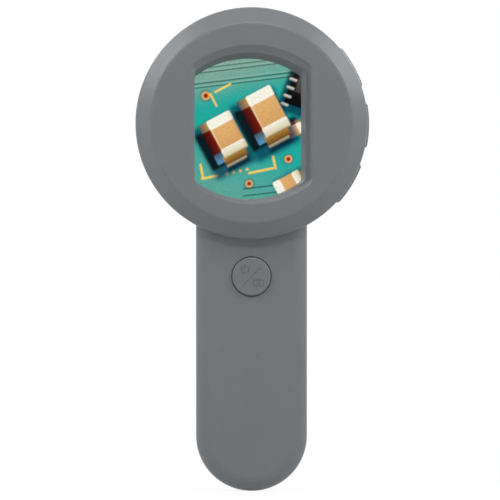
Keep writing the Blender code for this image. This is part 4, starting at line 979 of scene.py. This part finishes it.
def makeFocusMarks():
    for name, label in (("focusTicks", "ticks"), ("focusLongTicks", "longTicks")):
        mark = marks[label]
        piece = ringOf(name, markBar(mark, collar["back"]), paintWhite, mark["count"], marks["first"], mark["between"])
        mounted(piece, "housing", "housing_grey")
    pointer = ringOf("focusPointer", markBar(marks["pointer"], focusRing["back"]), paintWhite, 1, quarterTurn)
    mounted(pointer, "focus_ring", "ring_black")


makeFocusRing()
makeFocusMarks()
print("focus ring and screws made")


# Lamps and hood

hood = {"bore": 17.3, "rimBore": 17.9, "base": 32.2, "baseHeight": 1.4, "baseRadius": 21.4, "rim": 40.0,
        "rimWall": 1.5, "ledge": 1.0, "ledgeFront": 33.7, "ledgeBack": 34.4, "baseRound": 0.35, "rimRound": 0.5,
        "mouthRound": 0.4, "ledgeRound": 0.15, "steps": 160, "softSteps": 6}
lamp = {"circle": 12.05, "count": 8, "size": 3.0, "corner": 0.3, "front": 33.6, "back": 34.4, "steps": 24,
        "dome": [(0, -0.4), (1.1, -0.4), (1.1, 0.02), (0.6, 0.12), (0, 0.15)]}


def makeHood():
    bore, ledge, shoulder = hood["bore"], hood["bore"] - hood["ledge"], hood["base"] + hood["baseHeight"]
    corners = [(bore, hood["base"]), (hood["baseRadius"], hood["base"], hood["baseRound"]),
               (hood["baseRadius"], shoulder, hood["rimRound"]),
               (hood["rimBore"] + hood["rimWall"], hood["rim"], hood["rimRound"]),
               (hood["rimBore"], hood["rim"], hood["mouthRound"]), (bore, hood["ledgeBack"]),
               (ledge, hood["ledgeBack"], hood["ledgeRound"]), (ledge, hood["ledgeFront"], hood["ledgeRound"]),
               (bore, hood["ledgeFront"])]
    piece = lathe("clearHood", corners, hoodClear, hood["steps"], softSteps=hood["softSteps"])
    mounted(smoothed(piece), "housing", "hood_clear", "clear_hood")


def makeLamps():
    count, circle = lamp["count"], (lamp["circle"], 0)
    front, back = lamp["front"] - planeDepth, lamp["back"] - planeDepth
    case = (slabInto, oblong(lamp["size"], lamp["size"], lamp["corner"], circle), front, back)
    dome = (latheInto, [(reach, back + depth) for reach, depth in lamp["dome"]], lamp["steps"], circle)
    for name, step, finish, nodes in (("lampCases", case, whiteResin, [f"led_{1 + index}" for index in range(count)]),
                                      ("lampDomes", dome, phosphor, [])):
        piece = ringOf(name, newPiece("lampPart", shapeOf(step)), finish, count, math.pi / count, fullTurn / count)
        mounted(smoothed(piece), "housing", "lamp", *nodes)


makeHood()
makeLamps()
print("lamps and hood made")


# Display picture: a generic view of a circuit board under the microscope. Its layers are drawn by rule onto
# the panel's own fine mesh, as a colour attribute that the finish reads. Places are (right, up) from the lens axis

tan, tanPale = linear(214, 158, 94), linear(236, 186, 122)
cream, creamShade = linear(252, 248, 232), linear(214, 198, 160)
redSide, redDark = linear(122, 30, 16), linear(44, 8, 10)
shadowBlue, shadowBlack = linear(4, 66, 92), linear(5, 8, 12)
gold, goldDark = linear(196, 142, 62), linear(58, 38, 14)
metalBlue, metalGrey = linear(88, 156, 196), linear(70, 84, 92)
marking, markingPale = linear(250, 204, 66), linear(255, 222, 110)
teal, sage, mint = linear(34, 172, 160), linear(132, 172, 156), linear(104, 168, 154)
trackDark, trackPale = linear(12, 70, 68), linear(176, 214, 196)
display = {"columns": 176, "rows": 240, "speckScale": 2200.0, "speckFound": (0.25, 0.75),
           "dim": (0.80, 0.80, 0.80, 1), "bright": (1.14, 1.14, 1.14, 1)}


def chip(spot, halfWidth, halfLength, turn, cap, near):
    # A ceramic chip seen from above and to one side: shadow, side wall, near end, body and both metal ends.
    # Near is how much of its side and end shows
    turn = math.radians(turn)
    side, end, flank = -halfWidth - near / 2, halfLength, near * 0.56

    def layer(right, up, wide, tall, corner, blur, low, high, share=1.0, way="along"):
        centre = (spot[0] + right * math.cos(turn) - up * math.sin(turn),
                  spot[1] + right * math.sin(turn) + up * math.cos(turn), 0)
        return (centre, wide, tall, corner, turn, blur, low, high, share, way)
    return [
        layer(-near * 0.9, -end * 0.2 - near * 0.6, halfWidth + near * 1.1, end + near, 1.2, 1.6, shadowBlue,
              shadowBlue, 0.92),
        layer(side - near * 0.5, -near * 0.8, near * 0.95, end * 1.02, 0.6, 0.8, shadowBlack, shadowBlack, 0.95),
        layer(-near * 0.4, -end - near * 1.2, halfWidth * 0.95, near * 0.55, 0.6, 0.8, shadowBlack, shadowBlue, 0.85),
        layer(side, -near * 0.35, flank, end * 0.97, 0.3, 0.22, redDark, redSide, 1.0, "across"),
        layer(side, end - cap * 0.75, flank, cap * 0.85, 0.3, 0.25, metalGrey, gold, 1.0, "across"),
        layer(side, -end + cap * 0.15, flank, cap * 1.05, 0.4, 0.25, metalBlue, metalGrey),
        layer(-near * 0.3, -end - near * 0.55, halfWidth * 0.95, near * 0.62, 0.5, 0.3, goldDark, gold),
        layer(-near * 0.45, -end - near * 1.15, halfWidth * 0.85, near * 0.16, 0.2, 0.3, metalGrey, creamShade, 0.9),
        layer(0, 0, halfWidth, end, 0.35, 0.16, tan, tanPale),
        layer(-halfWidth * 0.93, 0, halfWidth * 0.05, end * 0.8, 0.05, 0.14, tanPale, cream, 0.7),
        layer(0, end - cap * 0.8, halfWidth * 1.03, cap, 0.7, 0.2, cream, cream),
        layer(0, -end + cap * 0.6, halfWidth * 1.03, cap, 0.7, 0.2, creamShade, cream),
        layer(0, -end - cap * 0.28, halfWidth * 0.92, cap * 0.16, 0.1, 0.2, goldDark, gold, 0.75),
    ]


def bar(spot, halfWidth, halfHeight, turn, low, high, corner, blur, share=1.0):
    return ((*spot, 0), halfWidth, halfHeight, corner, math.radians(turn), blur, low, high or low, share, "along")


def platedHole(spot, size):
    return [bar(spot, size * grow, size * grow, 0, shade, None, size * grow, blur, share)
            for grow, blur, shade, share in ((2.0, 0.6, shadowBlue, 0.55), (1.5, 0.28, linear(240, 176, 110), 1.0),
                                             (0.8, 0.4, linear(146, 26, 10), 1.0))]


def picture():
    layers = []
    for up, thick in ((22.4, 0.16), (20.7, 0.16), (19.2, 0.2), (15.6, 0.24), (14.2, 0.2)):
        layers.append(bar((-1, up), 30, thick, 7, trackDark, None, 0.1, 0.22, 0.85))
        layers.append(bar((-1, up + 0.55), 30, thick, 7, trackPale, None, 0.1, 0.3, 0.35))
    for up, thick in ((-21.0, 0.24), (-23.4, 0.2)):
        layers.append(bar((9, up), 12, thick, 7, trackDark, None, 0.1, 0.22, 0.9))
    # Corner of a black package with its legs, upper right
    layers += [bar((16.6, 9.6), 6.2, 7.2, -20, shadowBlue, shadowBlack, 1.0, 1.0, 0.92),
               bar((18.6, 11.4), 5.8, 6.6, -20, linear(8, 8, 10), linear(26, 26, 28), 0.3, 0.25),
               bar((20.4, 13.6), 4.4, 4.6, -20, linear(64, 60, 60), linear(112, 106, 102), 0.3, 0.35)]
    for step in range(4):
        layers.append(bar((11.2 + step * 1.02, 6.4 + step * 2.8), 1.35, 0.5, -20, metalGrey, cream, 0.3, 0.25, 0.95))
    for spot, size in (((-15.6, 9.4), 1.0), ((12.6, -12.2), 0.9), ((-0.8, -20.6), 0.85)):
        layers += platedHole(spot, size)
    # Plain yellow board marking round the parts: corners, bars and a row of dots
    for spot, wide, tall, turn in (((-9.8, 12.0), 3.2, 0.36, 28), ((-13.0, 8.0), 0.36, 2.6, 28),
                                   ((3.2, -16.2), 4.4, 0.40, 12), ((7.8, -13.4), 0.40, 2.4, 12),
                                   ((-17.0, -16.2), 0.38, 2.4, 12), ((-14.2, -18.4), 3.0, 0.40, 12)):
        layers.append(bar(spot, wide, tall, turn, marking, markingPale, 0.2, 0.2, 0.95))
    for step in range(4):
        layers.append(bar((-8.4 + 2.3 * step, -17.2 + 0.5 * step), 0.5, 0.5, 0, marking, None, 0.5, 0.2, 0.95))
    for values in (((14.6, -2.6), 1.9, 3.2, -62, 1.0, 1.3), ((-8.4, -3.6), 4.4, 6.6, 28, 1.7, 3.0),
                   ((5.6, 4.2), 4.6, 7.4, 28, 1.9, 3.3), ((12.8, -20.8), 3.0, 4.6, 118, 1.4, 1.6)):
        layers += chip(*values)
    return layers


def softMask(right, up, centre, halfWidth, halfHeight, corner, turn, blur):
    # 1 inside a turned box with round corners and a soft edge, with how far along and across it each point is
    awayRight, awayUp = right - centre[0], up - centre[1]
    across = awayRight * math.cos(turn) + awayUp * math.sin(turn)
    along = awayUp * math.cos(turn) - awayRight * math.sin(turn)
    corner = min(corner, halfWidth, halfHeight)
    pastX = np.maximum(np.abs(across) - (halfWidth - corner), 0)
    pastZ = np.maximum(np.abs(along) - (halfHeight - corner), 0)
    inside = np.clip(0.5 - (np.hypot(pastX, pastZ) - corner) / (2 * blur), 0, 1)
    return (inside * inside * (3 - 2 * inside), np.clip(along / halfHeight / 2 + 0.5, 0, 1),
            np.clip(across / halfWidth / 2 + 0.5, 0, 1))


def eased(value, low, high):
    share = np.clip((value - low) / (high - low), 0, 1)
    return (share * share * (3 - 2 * share))[:, None]


def pictureColours(right, up):
    shade = np.array(teal)[None, :] * np.ones((len(right), 1))
    shade += (np.array(sage) - shade) * eased(up - 0.25 * right, 8, 22)
    shade += (np.array(mint) - shade) * 0.7 * eased(up + 0.35 * right, -6, -26)
    for *box, low, high, share, way in picture():
        mask, along, across = softMask(right, up, *box)
        grade = (along if way == "along" else across)[:, None]
        layer = np.array(low) + (np.array(high) - np.array(low)) * grade
        shade += (layer - shade) * (mask * share)[:, None]
    shade[:, 3] = 1.0
    return shade


def displayFinish():
    finish, tree, shader = newFinish("displayPicture", Base_Color=linear(2, 2, 3), Roughness=0.4,
                                     Emission_Strength=1.0, Specular_IOR_Level=0.0)
    drawn = add(tree, "ShaderNodeAttribute", {"attribute_name": "picture"}).outputs["Color"]
    speck = noise(tree, objectPoint(tree), display["speckScale"], 4.0, 0.75)
    shine = mixed(tree, ranged(tree, speck, *display["speckFound"]), display["dim"], display["bright"])
    feed(tree, shader, Emission_Color=mixed(tree, 1.0, drawn, shine, "MULTIPLY"))
    return finish


def makeDisplay():
    low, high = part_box("display_panel")
    shape = bmesh.new()
    grid = [[shape.verts.new((x, low.y, z)) for x in spread(low.x, high.x, display["columns"])]
            for z in spread(low.z, high.z, display["rows"])]
    gridInto(shape, grid)
    around = grid[0] + [row[-1] for row in grid[1:]] + grid[-1][-2::-1] + [row[0] for row in grid[-2:0:-1]]
    rim = [shape.verts.new((corner.co.x, high.y, corner.co.z)) for corner in around]
    gridInto(shape, [around + around[:1], rim + rim[:1]])
    shape.faces.new(rim)
    piece = newPiece("displayPanel", shape, displayFinish())
    places = np.array([corner.co for corner in piece.data.vertices])
    drawn = pictureColours(places[:, 0] / mm, (places[:, 2] - axisHeight) / mm)
    attribute = piece.data.color_attributes.new("picture", "FLOAT_COLOR", "POINT")
    attribute.data.foreach_set("color", drawn.astype(np.float32).ravel())
    mounted(piece, "housing", "display_glass", "display_panel")


makeDisplay()
print("display picture drawn")


# Finishes on the solids that stay

kept = (
    (windowClear, "display_window"), (amberFilm, "display_ribbon grip_ribbon"), (socketSteel, "usb_socket card_socket"),
    (steel, "display_frame guide_pin_1 guide_pin_2 tube_screw_1 tube_screw_2 tube_screw_3"),
    (boardGreen, "main_board button_board grip_board sensor_board"), (lampBoard, "led_board"),
    (chipBlack, "processor_chip memory_chip key_switch_1 key_switch_2 key_switch_3 power_switch image_sensor"),
    (cellFoil, "battery_cell"), (blackPlastic, "lens_tube lens_carrier"), (lensGlass, "objective_lens rear_lens"),
    (darkSteel, "lens_retainer"), (milkyDiffuser, "diffuser_ring"),
)


def dress(solid, finish):
    for index in range(len(solid.material_slots)):
        solid.material_slots[index].material = finish
    if not solid.material_slots:
        solid.data.materials.append(finish)


for nodeFinish, nodeNames in kept:
    for nodeName in nodeNames.split():
        dress(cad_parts[nodeName], nodeFinish)
print("solids dressed")


# Studio: sizes in metres, but the view's in mm. A light's turn runs round the lens axis, and its tilt is away from
# the camera's side

studio = {"distance": 1.5, "viewWidth": 170.0, "viewX": -0.51, "viewZ": 82.45, "sensor": 36.0, "ambient": 0.12,
          "floorHalf": 3.0, "floorTone": (0.65, 0.65, 0.65, 1), "floorShade": 0.12, "floorFade": (0.08, 0.4),
          "floorGlow": 1.04}
sideBox = {"distance": 0.6, "width": 0.38, "height": 0.085, "shine": False}
sideStrip = {"distance": 0.6, "width": 0.38, "height": 0.04, "shine": True}
backBox = {"distance": 1.2, "width": 0.50, "height": 0.30, "shine": True}
topBox = {"distance": 0.7, "width": 0.20, "height": 0.03, "shine": True}
lights = {
    "boxLeft": {**sideBox, "turn": 142, "tilt": 68, "power": 1.6},
    "stripLeft": {**sideStrip, "turn": 142, "tilt": 82, "power": 1.0},
    "boxRight": {**sideBox, "turn": 35, "tilt": 68, "power": 1.65},
    "stripRight": {**sideStrip, "turn": 33, "tilt": 82, "power": 1.0},
    "boxTop": {**topBox, "turn": 90, "tilt": 46, "power": 0.9},
    "backLeft": {**backBox, "turn": 140, "tilt": 140, "power": 3.8},
    "backRight": {**backBox, "turn": 40, "tilt": 140, "power": 3.8},
}


def makeCamera():
    data = bpy.data.cameras.new("camera")
    data.sensor_width = studio["sensor"]
    data.lens = studio["sensor"] * studio["distance"] * 1000 / studio["viewWidth"]
    data.clip_start, data.clip_end = 0.05, 20.0
    camera = bpy.data.objects.new("camera", data)
    camera.location = (studio["viewX"] * mm, frontPlane - studio["distance"], studio["viewZ"] * mm)
    camera.rotation_euler = Euler((quarterTurn, 0, 0))
    bpy.context.collection.objects.link(camera)
    bpy.context.scene.camera = camera


def makeLights():
    target = Vector((0, frontPlane, axisHeight))
    for name, light in lights.items():
        data = bpy.data.lights.new(name, "AREA")
        data.shape = "RECTANGLE"
        data.size, data.size_y, data.energy = light["width"], light["height"], light["power"]
        source = bpy.data.objects.new(name, data)
        source.visible_glossy = light["shine"]
        turn, tilt = math.radians(light["turn"]), math.radians(light["tilt"])
        away = Vector((math.cos(turn) * math.sin(tilt), -math.cos(tilt), math.sin(turn) * math.sin(tilt)))
        source.location = target + away * light["distance"]
        # The width runs round the lens axis, so that the shadow under the head keeps a clear edge
        across = Vector((-math.sin(turn), 0, math.cos(turn)))
        source.rotation_euler = Matrix((across, away.cross(across), away)).transposed().to_euler()
        bpy.context.collection.objects.link(source)


def pathWhite(tree):
    # 1 for camera, glossy and transmission rays
    path = add(tree, "ShaderNodeLightPath").outputs
    seen = maths(tree, "MAXIMUM", path["Is Camera Ray"], path["Is Glossy Ray"])
    return maths(tree, "MAXIMUM", seen, path["Is Transmission Ray"])


def makeWorld():
    world = bpy.data.worlds.new("studioWorld")
    bpy.context.scene.world = world
    world.use_nodes = True
    tree = world.node_tree
    feed(tree, tree.nodes["Background"], Color=(1, 1, 1, 1),
         Strength=ranged(tree, pathWhite(tree), 0.0, 1.0, studio["ambient"], 1.0, "LINEAR"))


def makeFloor():
    half = studio["floorHalf"]
    shape = bmesh.new()
    shape.faces.new([shape.verts.new((x, y, 0)) for x, y in oblong(2 * half, 2 * half)])
    finish, tree, shader = newFinish("studioFloor", Base_Color=studio["floorTone"], Roughness=0.7,
                                     Specular_IOR_Level=0.1)
    glow = add(tree, "ShaderNodeEmission", Color=(1, 1, 1, 1), Strength=studio["floorGlow"])
    # The shadow stays near the object, and the far floor fades to white
    reach = add(tree, "ShaderNodeVectorMath", {"operation": "LENGTH"}, in0=objectPoint(tree))
    shown = ranged(tree, reach.outputs["Value"], *studio["floorFade"], 1 - studio["floorShade"], 1.0)
    blend = add(tree, "ShaderNodeMixShader", in0=times(tree, pathWhite(tree), shown), in1=shader.outputs[0],
                in2=glow.outputs[0])
    feed(tree, tree.nodes["Material Output"], Surface=blend.outputs[0])
    newPiece("studioFloor", shape, finish)


makeCamera()
makeLights()
makeWorld()
makeFloor()
bpy.context.scene.view_settings.view_transform = "Standard"
print("studio ready")
